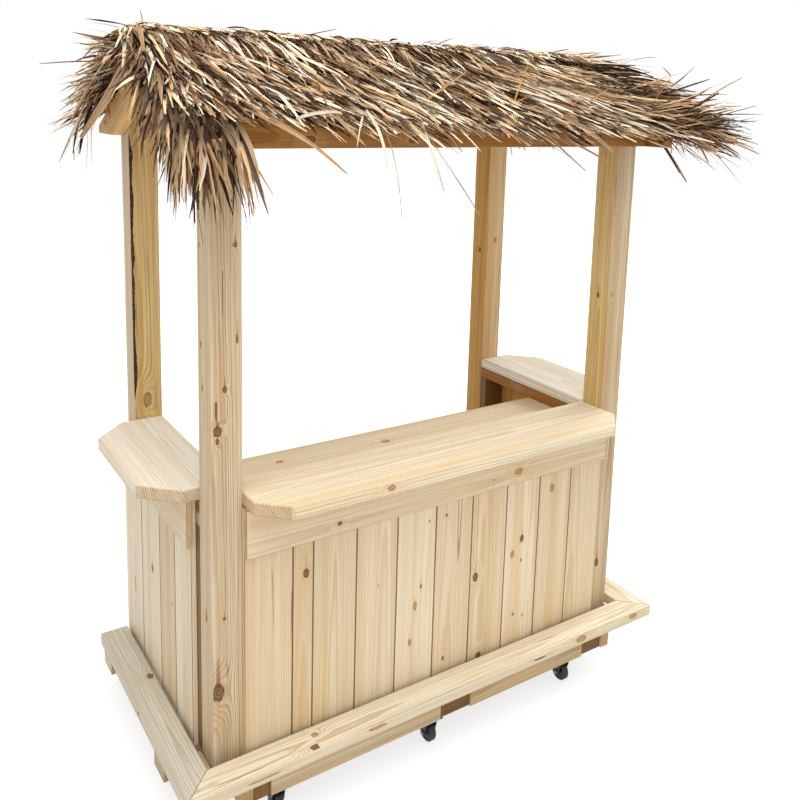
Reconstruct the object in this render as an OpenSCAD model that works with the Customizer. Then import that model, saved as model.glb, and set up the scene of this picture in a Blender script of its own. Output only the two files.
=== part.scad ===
// Rolling tiki bar: an open frame of four posts with a counter on three sides,
// boarded walls under the counter, and a thatched gable roof.
// The floor is z = 0, the middle of the post footprint is x = 0, y = 0.
// The service side faces -Y. Sizes are in millimetres.

/* [Frame] */
// Width over the outer faces of the posts
bar_w = 1524; // [1200:1:2400]
// Depth over the outer faces of the posts
bar_d = 762; // [600:1:1200]
// Side of a square post
post = 89; // [70:1:120]
// Radius on the long edges of a post
post_round = 4; // [1:0.5:8]
// Thickness of the heavy planks, used for counters, rails and rafters
plank_t = 38; // [30:1:50]
// Width of the narrow planks, used for ledgers, rafters and base boards
plank_w = 89; // [70:1:120]

/* [Counter] */
// Counter top above the top of the base rail
counter_rise = 758; // [600:1:1000]
// Width of each counter plank
counter_w = 235; // [180:1:300]
// Cut corner of the front counter
front_cut = 80; // [20:1:110]
// Cut corner of the side counters
side_cut = 100; // [20:1:110]
// Width of the inner shelf plank
shelf_w = 286; // [180:1:340]

/* [Walls] */
// Thickness of the wall boards
board_t = 16; // [12:0.5:22]
// Height of the apron board under the counter
apron_h = 140; // [80:1:200]
// Gap between neighbouring boards
board_gap = 2.4; // [1:0.1:5]
// Gap between the outer front boards and the posts
edge_gap = 0.6; // [0.2:0.1:3]
// Side aprons past the front edge of their walls
apron_lap = 14; // [0:1:30]
// Number of whole boards in the front wall
front_boards = 9; // [6:1:12]
// Width of the ripped board in the front wall
ripped_w = 62; // [40:1:90]
// Gap between the side wall and the front post
side_gap = 13; // [5:1:25]
// Share of the side wall that each narrow board takes
narrow_share = 0.216; // [0.15:0.001:0.25]
// Gap from the side wall's rear edge to the rear face of the post
side_set = 4; // [1:1:12]

/* [Base] */
// Gap from the posts to the inner edge of the rail
rail_gap = 28; // [24:1:50]
// Side rail's rear end, in front of the rear face of the posts
rail_short = 29; // [5:1:80]
// Distance that the rail stands out past the skirt boards
rail_out = 43; // [10:1:60]
// Outer faces of the base side boards, in from the post's outer face
side_in = 49; // [40:1:51]
// Outrigger's end, in from the rail's outer edge
outrigger_in = 30; // [5:1:60]
// Front outrigger's middle, behind the front face of the posts
outrigger_y = 171; // [140:1:240]
// Slot beside the left skirt board
slot_left = 53; // [30:1:120]
// Left end of the middle slot, from the middle of the bar
slot_mid = -37; // [-150:1:50]
// Width of the middle slot
slot_mid_w = 117; // [60:1:150]
// Slot beside the right skirt board
slot_right = 95; // [30:1:150]

/* [Casters] */
// Height of the base frame above the floor
caster_h = 85; // [80:1:110]
// Diameter of a wheel
wheel_d = 63; // [50:1:70]
// Width of a wheel's tread
wheel_w = 25; // [18:1:32]
// Rounding of the tread's edges, as a share of its width
tread_round = 0.16; // [0.05:0.01:0.3]
// Diameter of the axle
axle_d = 8; // [6:0.5:10]
// Length of the axle past each fork cheek
axle_out = 4; // [2:0.5:8]
// Wall of the wheel's hub round the axle
hub_wall = 6; // [4:0.5:8]
// Height of the tyre's side above the wheel disc
tyre_h = 8; // [5:0.5:12]
// Depth of the wheel disc below the tyre's side
disc_in = 2; // [1:0.5:4]
// Clearance between the axle and the bore, on the radius
axle_clear = 0.05; // [0.02:0.01:0.1]
// Gap from the tread to a fork cheek
cheek_gap = 5; // [5:0.5:8]
// Side of the square mounting plate
plate = 66; // [56:1:74]
// Width of a fork cheek at the plate, as a share of the plate
cheek_share = 0.72; // [0.5:0.01:0.9]
// Thickness of the steel of plate and cheeks
steel_t = 3; // [2:0.5:4]
// Left casters, from the skirt board's left end
caster_left = 32; // [25:1:80]
// Middle casters, from the middle slot's left end
caster_mid = 21; // [20:1:80]
// Right casters, from the right skirt board's right end
caster_right = 62; // [25:1:100]

/* [Roof] */
// Underside of the beams above the top of the base rail
beam_rise = 1676; // [1400:1:2000]
// Roof pitch in degrees
pitch = 25; // [18:0.5:32]
// Rafter tail past the face of the posts
tail = 119; // [90:1:160]
// Height of the plumb cut at a rafter's end
tail_nose = 25; // [12:1:40]
// Thickness of the roof battens
batten_t = 16; // [10:1:22]
// Rows of battens on each slope
batten_rows = 3; // [2:1:4]
// Batten ends past the outer face of the gable rafters
batten_out = 20; // [5:1:60]
// Thickness of the lower thatch course
thatch_t = 24; // [14:1:40]
// Thickness of the upper thatch course
thatch_top_t = 16; // [10:1:30]
// Thickness of the thatch cap along the ridge
cap_t = 14; // [8:1:30]
// Thatch past the rafter tails at the eaves
eave_out = 22; // [0:1:120]
// Length of the loose leaf tips at the eaves
eave_tips = 60; // [20:1:140]
// Reach of the upper thatch course, as a share of the eave's
upper_share = 0.56; // [0.4:0.01:0.8]
// Reach of the cap along the ridge, as a share of the eave's
cap_share = 0.2; // [0.1:0.01:0.35]
// Thatch past the posts at the left gable
left_out = 92; // [80:1:160]
// Length of the loose leaf tips at the left gable
left_tips = 150; // [20:1:200]
// Thatch past the posts at the right gable
right_out = 170; // [80:1:260]
// Length of the loose leaf tips at the right gable
right_tips = 300; // [20:1:340]
// Drop of the leaf curtain at the left gable
left_drop = 170; // [80:1:240]
// Extra drop of the leaf curtain at the left front corner
corner_drop = 90; // [0:1:140]
// Drop of the leaf curtain at the right gable
right_drop = 90; // [40:1:160]
// Thickness of the leaf curtains
curtain_t = 28; // [15:1:40]

/* [Hidden] */
$fn = 48;

pine = [0.93, 0.84, 0.66];
pine_shade = [0.80, 0.63, 0.40];
leaf = [0.62, 0.52, 0.40];
leaf_dark = [0.50, 0.41, 0.31];
steel = [0.30, 0.31, 0.33];
rubber = [0.06, 0.06, 0.07];

// Half sizes over the posts, and the clear half sizes between them
hx = bar_w / 2;
hy = bar_d / 2;
ix = hx - post;
iy = hy - post;

// Heights above the floor
base_top = caster_h + plank_w;
rail_top = base_top + plank_t;
counter_top = rail_top + counter_rise;
ledger_top = counter_top - plank_t;
ledger_low = ledger_top - plank_t;
shelf_low = ledger_low - plank_t;
apron_low = ledger_top - apron_h;
beam_low = rail_top + beam_rise;

// Plan of the walls, from the posts outwards
wall_y = hy + board_t;
apron_y = wall_y + board_t;
wall_x = hx + board_t;
apron_x = wall_x + board_t;
side_front = -iy + side_gap;
side_rear = hy - side_set;
wall_front = side_front + apron_lap;
front_room = 2 * (ix - edge_gap) - ripped_w - front_boards * board_gap;
front_board_w = front_room / front_boards;
side_run = side_rear - wall_front;
side_narrow = (side_run - 3 * board_gap) * narrow_share;
side_wide = (side_run - 3 * board_gap) / 2 - side_narrow;

// Plan of the base
rail_ix = hx + rail_gap;
rail_ox = rail_ix + plank_w;
rail_iy = hy + rail_gap;
rail_oy = rail_iy + plank_w;
rail_rear = hy - rail_short;
skirt_y = rail_oy - rail_out;
rim_y = skirt_y - plank_t;
base_ox = hx - side_in;
base_ix = base_ox - plank_t;
outrigger_x = rail_ox - outrigger_in;
skirt_l = -base_ix + slot_left;
skirt_r = base_ix - slot_right;

// Casters: the front row under skirt and rim, the rear row under the rear rim
fork_w = wheel_w + 2 * cheek_gap;
hub_w = fork_w - 1;
hub_d = axle_d + 2 * hub_wall;
wheel_z = wheel_d / 2;
caster_xs = [skirt_l + caster_left, slot_mid - caster_mid, skirt_r - caster_right];
front_caster_y = -rim_y;
rear_caster_y = hy - plank_w / 2;

// Roof lines: rafter tops fall from the ridge to the tails
slope = tan(pitch);
tail_y = hy + tail;
ridge_z = beam_low + tail_nose + tail_y * slope;
rafter_h = plank_w / cos(pitch);
heel_y = (ridge_z - rafter_h - beam_low) / slope;
gable_x = hx + plank_t;
batten_x = gable_x + batten_out;
batten_rise = batten_t / cos(pitch);
thatch_rise = thatch_t / cos(pitch);
top_rise = thatch_top_t / cos(pitch);
cap_rise = cap_t / cos(pitch);
eave_y = tail_y + eave_out;
left_x = -hx - left_out;
right_x = hx + right_out;
upper_y = eave_y * upper_share;
cap_y = eave_y * cap_share;

// Room between the layers of the roof, the first batten's distance from the
// ridge line, and the level of each layer above the rafter tops
lay_gap = 0.05;
lay_edge = 4;
course_low = batten_rise + lay_gap;
top_low = course_low + thatch_rise + lay_gap;
cap_low = top_low + top_rise + lay_gap;

// Height of the rafter tops at a distance from the ridge line
function roof_z(y) = ridge_z - abs(y) * slope;

// Height of the underside of the thatch
function thatch_z(y) = roof_z(y) + batten_rise;

// Rectangle with round corners, centred
module round_rect(w, h, r) {
    square([w - 2 * r, h], center = true);
    square([w, h - 2 * r], center = true);
    for (sx = [-1, 1]) {
        for (sy = [-1, 1]) {
            translate([sx * (w / 2 - r), sy * (h / 2 - r)])
                circle(r);
        }
    }
}

// Box between two corners
module box(a, b) {
    translate(a)
        cube(b - a);
}

// Profile drawn in the Y-Z plane and carried along X from x0 to x1
module along_x(x0, x1) {
    translate([x0, 0, 0])
        rotate([90, 0, 90])
            linear_extrude(x1 - x0)
                children();
}

// Everything above the rafter tops, for sloping cuts
module above_roof(lift = 0) {
    along_x(-2 * bar_w, 2 * bar_w)
        polygon([
            [-2 * bar_d, roof_z(2 * bar_d) + lift],
            [0, ridge_z + lift],
            [2 * bar_d, roof_z(2 * bar_d) + lift],
            [2 * bar_d, ridge_z + bar_d],
            [-2 * bar_d, ridge_z + bar_d]
        ]);
}

// Post from the base side boards up to the battens, its head cut to the roof
module corner_post(sx, sy) {
    difference() {
        translate([sx * (hx - post / 2), sy * (hy - post / 2), base_top])
            linear_extrude(ridge_z - base_top)
                round_rect(post, post, post_round);
        above_roof();
    }
}

module front_left_post() {
    color(pine) corner_post(-1, -1);
}

module front_right_post() {
    color(pine) corner_post(1, -1);
}

module rear_left_post() {
    color(pine) corner_post(-1, 1);
}

module rear_right_post() {
    color(pine) corner_post(1, 1);
}

// Counter plank along X, its two outer corners cut off
module counter_plank(length, width, cut) {
    linear_extrude(plank_t)
        polygon([
            [-length / 2, 0],
            [length / 2, 0],
            [length / 2, -width + cut],
            [length / 2 - cut, -width],
            [-length / 2 + cut, -width],
            [-length / 2, -width + cut]
        ]);
}

module front_counter() {
    color(pine)
        translate([0, -iy, ledger_top])
            counter_plank(2 * ix, counter_w, front_cut);
}

module side_counter(sx) {
    translate([sx * ix, 0, ledger_top])
        rotate([0, 0, sx * 90])
            counter_plank(2 * iy, counter_w, side_cut);
}

module left_counter() {
    color(pine) side_counter(-1);
}

module right_counter() {
    color(pine) side_counter(1);
}

// Shelf behind the front wall, hung under the side ledgers
module inner_shelf() {
    color(pine_shade)
        box([-hx, -iy, shelf_low], [hx, -iy + shelf_w, ledger_low]);
}

// Front wall: whole boards with one ripped board in second place from the left
module front_wall() {
    color(pine)
        for (i = [0 : front_boards]) {
            w = i == 1 ? ripped_w : front_board_w;
            whole = i > 1 ? i - 1 : i;
            x = -ix + edge_gap + i * board_gap + whole * front_board_w
                + (i > 1 ? ripped_w : 0);
            box([x, -wall_y, base_top], [x + w, -hy, ledger_top]);
        }
}

// Side wall: two narrow boards at the front and two wide ones behind
module side_wall(sx) {
    for (i = [0 : 3]) {
        w = i < 2 ? side_narrow : side_wide;
        y = wall_front + i * board_gap + min(i, 2) * side_narrow
            + max(i - 2, 0) * side_wide;
        x = sx > 0 ? hx : -wall_x;
        box([x, y, base_top], [x + board_t, y + w, ledger_top]);
    }
}

module left_wall() {
    color(pine) side_wall(-1);
}

module right_wall() {
    color(pine) side_wall(1);
}

module front_apron() {
    color(pine)
        box([-ix, -apron_y, apron_low], [ix, -wall_y, ledger_top]);
}

module side_apron(sx) {
    x = sx > 0 ? wall_x : -apron_x;
    box([x, side_front, apron_low], [x + board_t, side_rear, ledger_top]);
}

module left_apron() {
    color(pine) side_apron(-1);
}

module right_apron() {
    color(pine) side_apron(1);
}

// Ledgers lie flat between the posts and carry the counters
module front_ledger() {
    color(pine_shade)
        box([-ix, -hy, ledger_low], [ix, -iy, ledger_top]);
}

module side_ledger(sx) {
    x = sx > 0 ? ix : -hx;
    box([x, -iy, ledger_low], [x + post, iy, ledger_top]);
}

module left_ledger() {
    color(pine_shade) side_ledger(-1);
}

module right_ledger() {
    color(pine_shade) side_ledger(1);
}

// Studs beside the posts: the front ones stop under the shelf
module wall_studs() {
    color(pine_shade)
        for (sx = [-1, 1]) {
            x = sx > 0 ? ix : -hx;
            box([x, -iy, base_top], [x + post, -iy + plank_t, shelf_low]);
            box([x, iy - plank_t, base_top], [x + post, iy, ledger_low]);
        }
}

// Flat rail round three sides, mitred at the front corners
module front_rail() {
    color(pine)
        translate([0, 0, base_top])
            linear_extrude(plank_t)
                polygon([
                    [-rail_ox, -rail_oy],
                    [rail_ox, -rail_oy],
                    [rail_ix, -rail_iy],
                    [-rail_ix, -rail_iy]
                ]);
}

module side_rail(sx) {
    translate([0, 0, base_top])
        linear_extrude(plank_t)
            polygon([
                [sx * rail_ox, -rail_oy],
                [sx * rail_ox, rail_rear],
                [sx * rail_ix, rail_rear],
                [sx * rail_ix, -rail_iy]
            ]);
}

module left_rail() {
    color(pine) side_rail(-1);
}

module right_rail() {
    color(pine) side_rail(1);
}

// Short blocks that carry the side rails
module rail_outriggers() {
    color(pine_shade)
        for (sx = [-1, 1]) {
            x = sx > 0 ? base_ox : -outrigger_x;
            run = outrigger_x - base_ox;
            box([x, -hy + outrigger_y - plank_w / 2, caster_h],
                [x + run, -hy + outrigger_y + plank_w / 2, base_top]);
            box([x, hy - plank_w, caster_h], [x + run, hy, base_top]);
        }
}

// Skirt boards under the front rail, with slots between them
module skirt_boards() {
    color(pine) {
        box([skirt_l, -skirt_y, caster_h], [slot_mid, -rim_y, base_top]);
        box([slot_mid + slot_mid_w, -skirt_y, caster_h], [skirt_r, -rim_y, base_top]);
    }
}

module front_rim() {
    color(pine_shade)
        box([-base_ix, -rim_y, caster_h], [base_ix, -rim_y + plank_t, base_top]);
}

module rear_rim() {
    color(pine_shade)
        box([-base_ix, hy - plank_w, caster_h], [base_ix, hy, base_top]);
}

module base_side_boards() {
    color(pine_shade)
        for (sx = [-1, 1]) {
            x = sx > 0 ? base_ix : -base_ox;
            box([x, -skirt_y, caster_h], [x + plank_t, hy, base_top]);
        }
}

// Beam on the outer face of the posts, its top cut to the roof
module eave_beam() {
    along_x(-hx, hx)
        polygon([
            [hy, beam_low],
            [hy + plank_t, beam_low],
            [hy + plank_t, roof_z(hy + plank_t) - lay_gap],
            [hy, roof_z(hy) - lay_gap]
        ]);
}

module front_beam() {
    color(pine_shade)
        mirror([0, 1, 0])
            eave_beam();
}

module rear_beam() {
    color(pine_shade) eave_beam();
}

// Rafter with a plumb cut at the ridge and a level cut under its tail
module gable_rafter() {
    head_y = plank_t / 2;
    polygon([
        [head_y, roof_z(head_y)],
        [tail_y, roof_z(tail_y)],
        [tail_y, beam_low],
        [heel_y, beam_low],
        [head_y, roof_z(head_y) - rafter_h]
    ]);
}

// The front and rear rafters of a gable meet the two faces of the ridge board
module gable_pair(x0, x1) {
    along_x(x0, x1)
        gable_rafter();
    mirror([0, 1, 0])
        along_x(x0, x1)
            gable_rafter();
}

module left_rafters() {
    color(pine_shade) gable_pair(-gable_x, -hx);
}

module right_rafters() {
    color(pine_shade) gable_pair(hx, gable_x);
}

// Middle rafters run from the ridge board to the beams, cut level with them
module middle_rafters() {
    head_y = plank_t / 2;
    cut_y = min(heel_y, hy - lay_edge);
    color(pine_shade)
        for (sy = [0, 1]) {
            mirror([0, sy, 0])
                along_x(-plank_t / 2, plank_t / 2)
                    polygon([
                        [head_y, roof_z(head_y)],
                        [hy, roof_z(hy)],
                        [hy, max(beam_low, roof_z(hy) - rafter_h)],
                        [cut_y, roof_z(cut_y) - rafter_h],
                        [head_y, roof_z(head_y) - rafter_h]
                    ]);
        }
}

module ridge_board() {
    color(pine_shade)
        along_x(-gable_x, gable_x)
            polygon([
                [-plank_t / 2, ridge_z - rafter_h],
                [plank_t / 2, ridge_z - rafter_h],
                [plank_t / 2, roof_z(plank_t / 2)],
                [0, ridge_z],
                [-plank_t / 2, roof_z(plank_t / 2)]
            ]);
}

// Rows of battens on the rafters, from the ridge to the beams
module roof_battens() {
    reach = plank_w / 2;
    step = (hy + plank_t - lay_edge - plank_w) / (batten_rows - 1);
    color(pine)
        for (sy = [0, 1]) {
            mirror([0, sy, 0])
                for (row = [0 : batten_rows - 1]) {
                    y = lay_edge + reach + row * step;
                    along_x(-batten_x, batten_x)
                        polygon([
                            [y - reach, roof_z(y - reach)],
                            [y + reach, roof_z(y + reach)],
                            [y + reach, thatch_z(y + reach)],
                            [y - reach, thatch_z(y - reach)]
                        ]);
                }
        }
}

// Ragged line of leaf tips: from p to q in n teeth that reach out along the
// direction d by up to the length given, with uneven notches between them
function ragged(p, q, n, d, reach, seed) = [
    for (i = [0 : 2 * n - 1])
        let (t = i / (2 * n))
        let (r = rands(0.35, 1, 1, seed + i)[0])
        let (out = i % 2 == 1 ? r : (i == 0 ? 0 : 0.25 * (1 - r)))
        p + (q - p) * t + d * reach * out
];

// Plan of a thatch slope on the +Y side, ragged along the eave and both gables
module thatch_plan(x0, x1, y1, tips, tips0, tips1, seed) {
    polygon(concat(
        [[x0, -plank_t], [x1, -plank_t]],
        ragged([x1, 0], [x1, y1], 9, [1, 0], tips1, seed + 100),
        ragged([x1, y1], [x0, y1], 22, [0, 1], tips, seed),
        ragged([x0, y1], [x0, 0], 9, [-1, 0], tips0, seed + 200),
        [[x0, 0]]
    ));
}

// Thatch course on the +Y side: a sloping slab trimmed to its ragged plan
module thatch_course(low, rise, x0, x1, y1, tips, tips0, tips1, seed) {
    far = y1 + tips + tips0 + tips1;
    intersection() {
        along_x(x0 - 2 * tips0, x1 + 2 * tips1)
            polygon([
                [0, ridge_z + low],
                [far, roof_z(far) + low],
                [far, roof_z(far) + low + rise],
                [0, ridge_z + low + rise]
            ]);
        translate([0, 0, roof_z(far)])
            linear_extrude(ridge_z - roof_z(far) + low + rise + 10)
                thatch_plan(x0, x1, y1, tips, tips0, tips1, seed);
    }
}

module front_thatch() {
    color(leaf)
        mirror([0, 1, 0])
            thatch_course(course_low, thatch_rise, left_x, right_x, eave_y,
                eave_tips, left_tips, right_tips, 51);
}

module rear_thatch() {
    color(leaf)
        mirror([1, 0, 0])
            thatch_course(course_low, thatch_rise, -right_x, -left_x, eave_y,
                eave_tips, right_tips, left_tips, 11);
}

module front_top_thatch() {
    color(leaf_dark)
        mirror([0, 1, 0])
            thatch_course(top_low, top_rise, left_x, right_x, upper_y,
                eave_tips, left_tips / 2, right_tips / 2, 77);
}

module rear_top_thatch() {
    color(leaf_dark)
        mirror([1, 0, 0])
            thatch_course(top_low, top_rise, -right_x, -left_x, upper_y,
                eave_tips, right_tips / 2, left_tips / 2, 91);
}

// Cap of leaves bent over the ridge
module ridge_thatch() {
    color(leaf)
        along_x(left_x, right_x)
            polygon([
                [-cap_y, roof_z(cap_y) + cap_low],
                [0, ridge_z + cap_low],
                [cap_y, roof_z(cap_y) + cap_low],
                [cap_y, roof_z(cap_y) + cap_low + cap_rise],
                [0, ridge_z + cap_low + cap_rise],
                [-cap_y, roof_z(cap_y) + cap_low + cap_rise]
            ]);
}

// Leaf curtain hanging under the thatch at a gable, deeper at the front
module thatch_curtain(drop, front_drop, seed) {
    teeth = 24;
    polygon(concat(
        [[-eave_y, thatch_z(eave_y)], [0, thatch_z(0)], [eave_y, thatch_z(eave_y)]],
        [
            for (i = [0 : 2 * teeth])
                let (t = i / (2 * teeth))
                let (y = eave_y * (1 - 2 * t))
                let (r = rands(0.6, 1, 1, seed + i)[0])
                let (d = drop + front_drop * pow(t, 4))
                [y, thatch_z(y) - d * (i % 2 == 1 ? r : 0.45)]
        ]
    ));
}

module left_thatch_curtain() {
    color(leaf)
        along_x(left_x, left_x + curtain_t)
            thatch_curtain(left_drop, corner_drop, 301);
}

module right_thatch_curtain() {
    color(leaf)
        along_x(right_x - curtain_t, right_x)
            thatch_curtain(right_drop, 0, 401);
}

// Outline of a fork cheek: wide at the plate, round at the axle
module cheek_outline() {
    nose = hub_d / 2;
    shoulder = plate * cheek_share / 2;
    polygon([
        [-shoulder, caster_h - steel_t],
        [shoulder, caster_h - steel_t],
        [nose, wheel_z],
        [-nose, wheel_z]
    ]);
    translate([0, wheel_z])
        circle(nose);
}

// Rigid caster fork: plate, two cheeks and the axle in one piece
module caster_fork() {
    box([-plate / 2, -plate / 2, caster_h - steel_t], [plate / 2, plate / 2, caster_h]);
    for (x = [-fork_w / 2 - steel_t, fork_w / 2]) {
        along_x(x, x + steel_t)
            cheek_outline();
    }
    translate([-fork_w / 2 - steel_t - axle_out, 0, wheel_z])
        rotate([0, 90, 0])
            cylinder(d = axle_d, h = fork_w + 2 * steel_t + 2 * axle_out);
}

module caster_forks() {
    color(steel)
        for (x = caster_xs) {
            for (y = [front_caster_y, rear_caster_y]) {
                translate([x, y, 0])
                    caster_fork();
            }
        }
}

// Wheel with a rounded tread and a hub that runs on the axle
module caster_wheel(x, y) {
    shoulder = wheel_w * tread_round;
    bore = axle_d / 2 + axle_clear;
    disc = wheel_d / 2 - tyre_h;
    lip = disc - disc_in / 2;
    translate([x, y, wheel_z])
        rotate([0, 90, 0])
            rotate_extrude($fn = 64)
                polygon([
                    [bore, -hub_w / 2],
                    [hub_d / 2, -hub_w / 2],
                    [hub_d / 2, -wheel_w / 2 + disc_in],
                    [lip, -wheel_w / 2 + disc_in],
                    [disc, -wheel_w / 2],
                    [wheel_d / 2 - shoulder, -wheel_w / 2],
                    [wheel_d / 2, -wheel_w / 2 + shoulder],
                    [wheel_d / 2, wheel_w / 2 - shoulder],
                    [wheel_d / 2 - shoulder, wheel_w / 2],
                    [disc, wheel_w / 2],
                    [lip, wheel_w / 2 - disc_in],
                    [hub_d / 2, wheel_w / 2 - disc_in],
                    [hub_d / 2, hub_w / 2],
                    [bore, hub_w / 2]
                ]);
}

module wheel_front_left() {
    color(rubber) caster_wheel(caster_xs[0], front_caster_y);
}

module wheel_front_middle() {
    color(rubber) caster_wheel(caster_xs[1], front_caster_y);
}

module wheel_front_right() {
    color(rubber) caster_wheel(caster_xs[2], front_caster_y);
}

module wheel_rear_left() {
    color(rubber) caster_wheel(caster_xs[0], rear_caster_y);
}

module wheel_rear_middle() {
    color(rubber) caster_wheel(caster_xs[1], rear_caster_y);
}

module wheel_rear_right() {
    color(rubber) caster_wheel(caster_xs[2], rear_caster_y);
}

front_left_post();
front_right_post();
rear_left_post();
rear_right_post();
front_counter();
left_counter();
right_counter();
inner_shelf();
front_wall();
left_wall();
right_wall();
front_apron();
left_apron();
right_apron();
front_ledger();
left_ledger();
right_ledger();
wall_studs();
front_rail();
left_rail();
right_rail();
rail_outriggers();
skirt_boards();
front_rim();
rear_rim();
base_side_boards();
front_beam();
rear_beam();
left_rafters();
right_rafters();
middle_rafters();
ridge_board();
roof_battens();
front_thatch();
rear_thatch();
front_top_thatch();
rear_top_thatch();
ridge_thatch();
left_thatch_curtain();
right_thatch_curtain();
caster_forks();
wheel_front_left();
wheel_front_middle();
wheel_front_right();
wheel_rear_left();
wheel_rear_middle();
wheel_rear_right();
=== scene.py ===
"""A rolling tiki bar: pine posts, boarded walls, three counters and a roof of dry leaves.

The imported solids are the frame. Every pine piece is dressed from its own solid, with eased
edges, growth rings, knots and drying cracks. The roof is made of many single leaf blades.
Lengths are in metres, +Z is up and the service side faces -Y.
"""
import logging
import math
from dataclasses import dataclass, field, fields
from enum import Enum

import bmesh
import bpy
import numpy as np
from mathutils import Matrix, Vector


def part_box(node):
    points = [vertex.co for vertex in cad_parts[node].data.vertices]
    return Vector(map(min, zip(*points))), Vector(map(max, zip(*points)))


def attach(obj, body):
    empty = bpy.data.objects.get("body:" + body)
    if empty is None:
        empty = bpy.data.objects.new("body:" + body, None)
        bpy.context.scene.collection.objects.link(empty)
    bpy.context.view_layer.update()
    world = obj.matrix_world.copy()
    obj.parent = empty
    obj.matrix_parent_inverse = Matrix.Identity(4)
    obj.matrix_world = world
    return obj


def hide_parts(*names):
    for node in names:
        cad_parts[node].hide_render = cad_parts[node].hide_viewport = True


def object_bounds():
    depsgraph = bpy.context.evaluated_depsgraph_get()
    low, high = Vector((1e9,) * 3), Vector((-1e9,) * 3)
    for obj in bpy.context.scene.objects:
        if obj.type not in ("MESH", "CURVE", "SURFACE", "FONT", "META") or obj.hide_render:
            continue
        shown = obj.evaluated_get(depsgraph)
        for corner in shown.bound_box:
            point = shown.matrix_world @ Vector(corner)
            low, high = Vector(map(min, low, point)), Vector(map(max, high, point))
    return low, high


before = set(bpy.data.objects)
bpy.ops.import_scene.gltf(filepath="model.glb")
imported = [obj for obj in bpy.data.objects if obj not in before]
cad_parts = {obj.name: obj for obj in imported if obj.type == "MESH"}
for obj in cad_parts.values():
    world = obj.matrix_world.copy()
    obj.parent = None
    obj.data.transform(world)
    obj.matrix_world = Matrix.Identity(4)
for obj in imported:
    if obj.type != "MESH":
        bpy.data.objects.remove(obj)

CAD_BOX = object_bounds()
LOG = logging.getLogger("tiki_bar")

Point = tuple[float, float, float]
Pair = tuple[float, float]
Box = tuple[Point, Point]
Rgb = tuple[int, int, int]
Rgba = tuple[float, float, float, float]
Array = np.ndarray
Draws = np.random.Generator
Solid = bmesh.types.BMesh
Piece = bpy.types.Object
Mesh = bpy.types.Mesh
Node = bpy.types.Node
Socket = bpy.types.NodeSocket
Outputs = bpy.types.NodeOutputs


class Slot(Enum):
    """Material slots of the bar."""

    PINE = "pine"
    PINE_FRAME = "pine_frame"
    THATCH = "thatch"
    FORK = "fork"
    WHEEL = "wheel"


class Side(Enum):
    """The four long faces of a stick, seen down its grain."""

    ACROSS_HIGH = 0
    FACE_HIGH = 1
    ACROSS_LOW = 2
    FACE_LOW = 3

    def run(self) -> int:
        """Gives the stick's own axis that runs across the face."""
        return 2 - self.value % 2


class Slope(Enum):
    """The two slopes of the roof, by the sign of their Y side."""

    FRONT = -1
    REAR = 1


def paint(colour: Rgb) -> Rgba:
    """Turns a colour as a screen shows it, 0 to 255, into Blender's linear numbers."""
    shares = [value / 255 for value in colour]
    return (*(s / 12.92 if s <= 0.04045 else ((s + 0.055) / 1.055) ** 2.4 for s in shares), 1.0)


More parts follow.
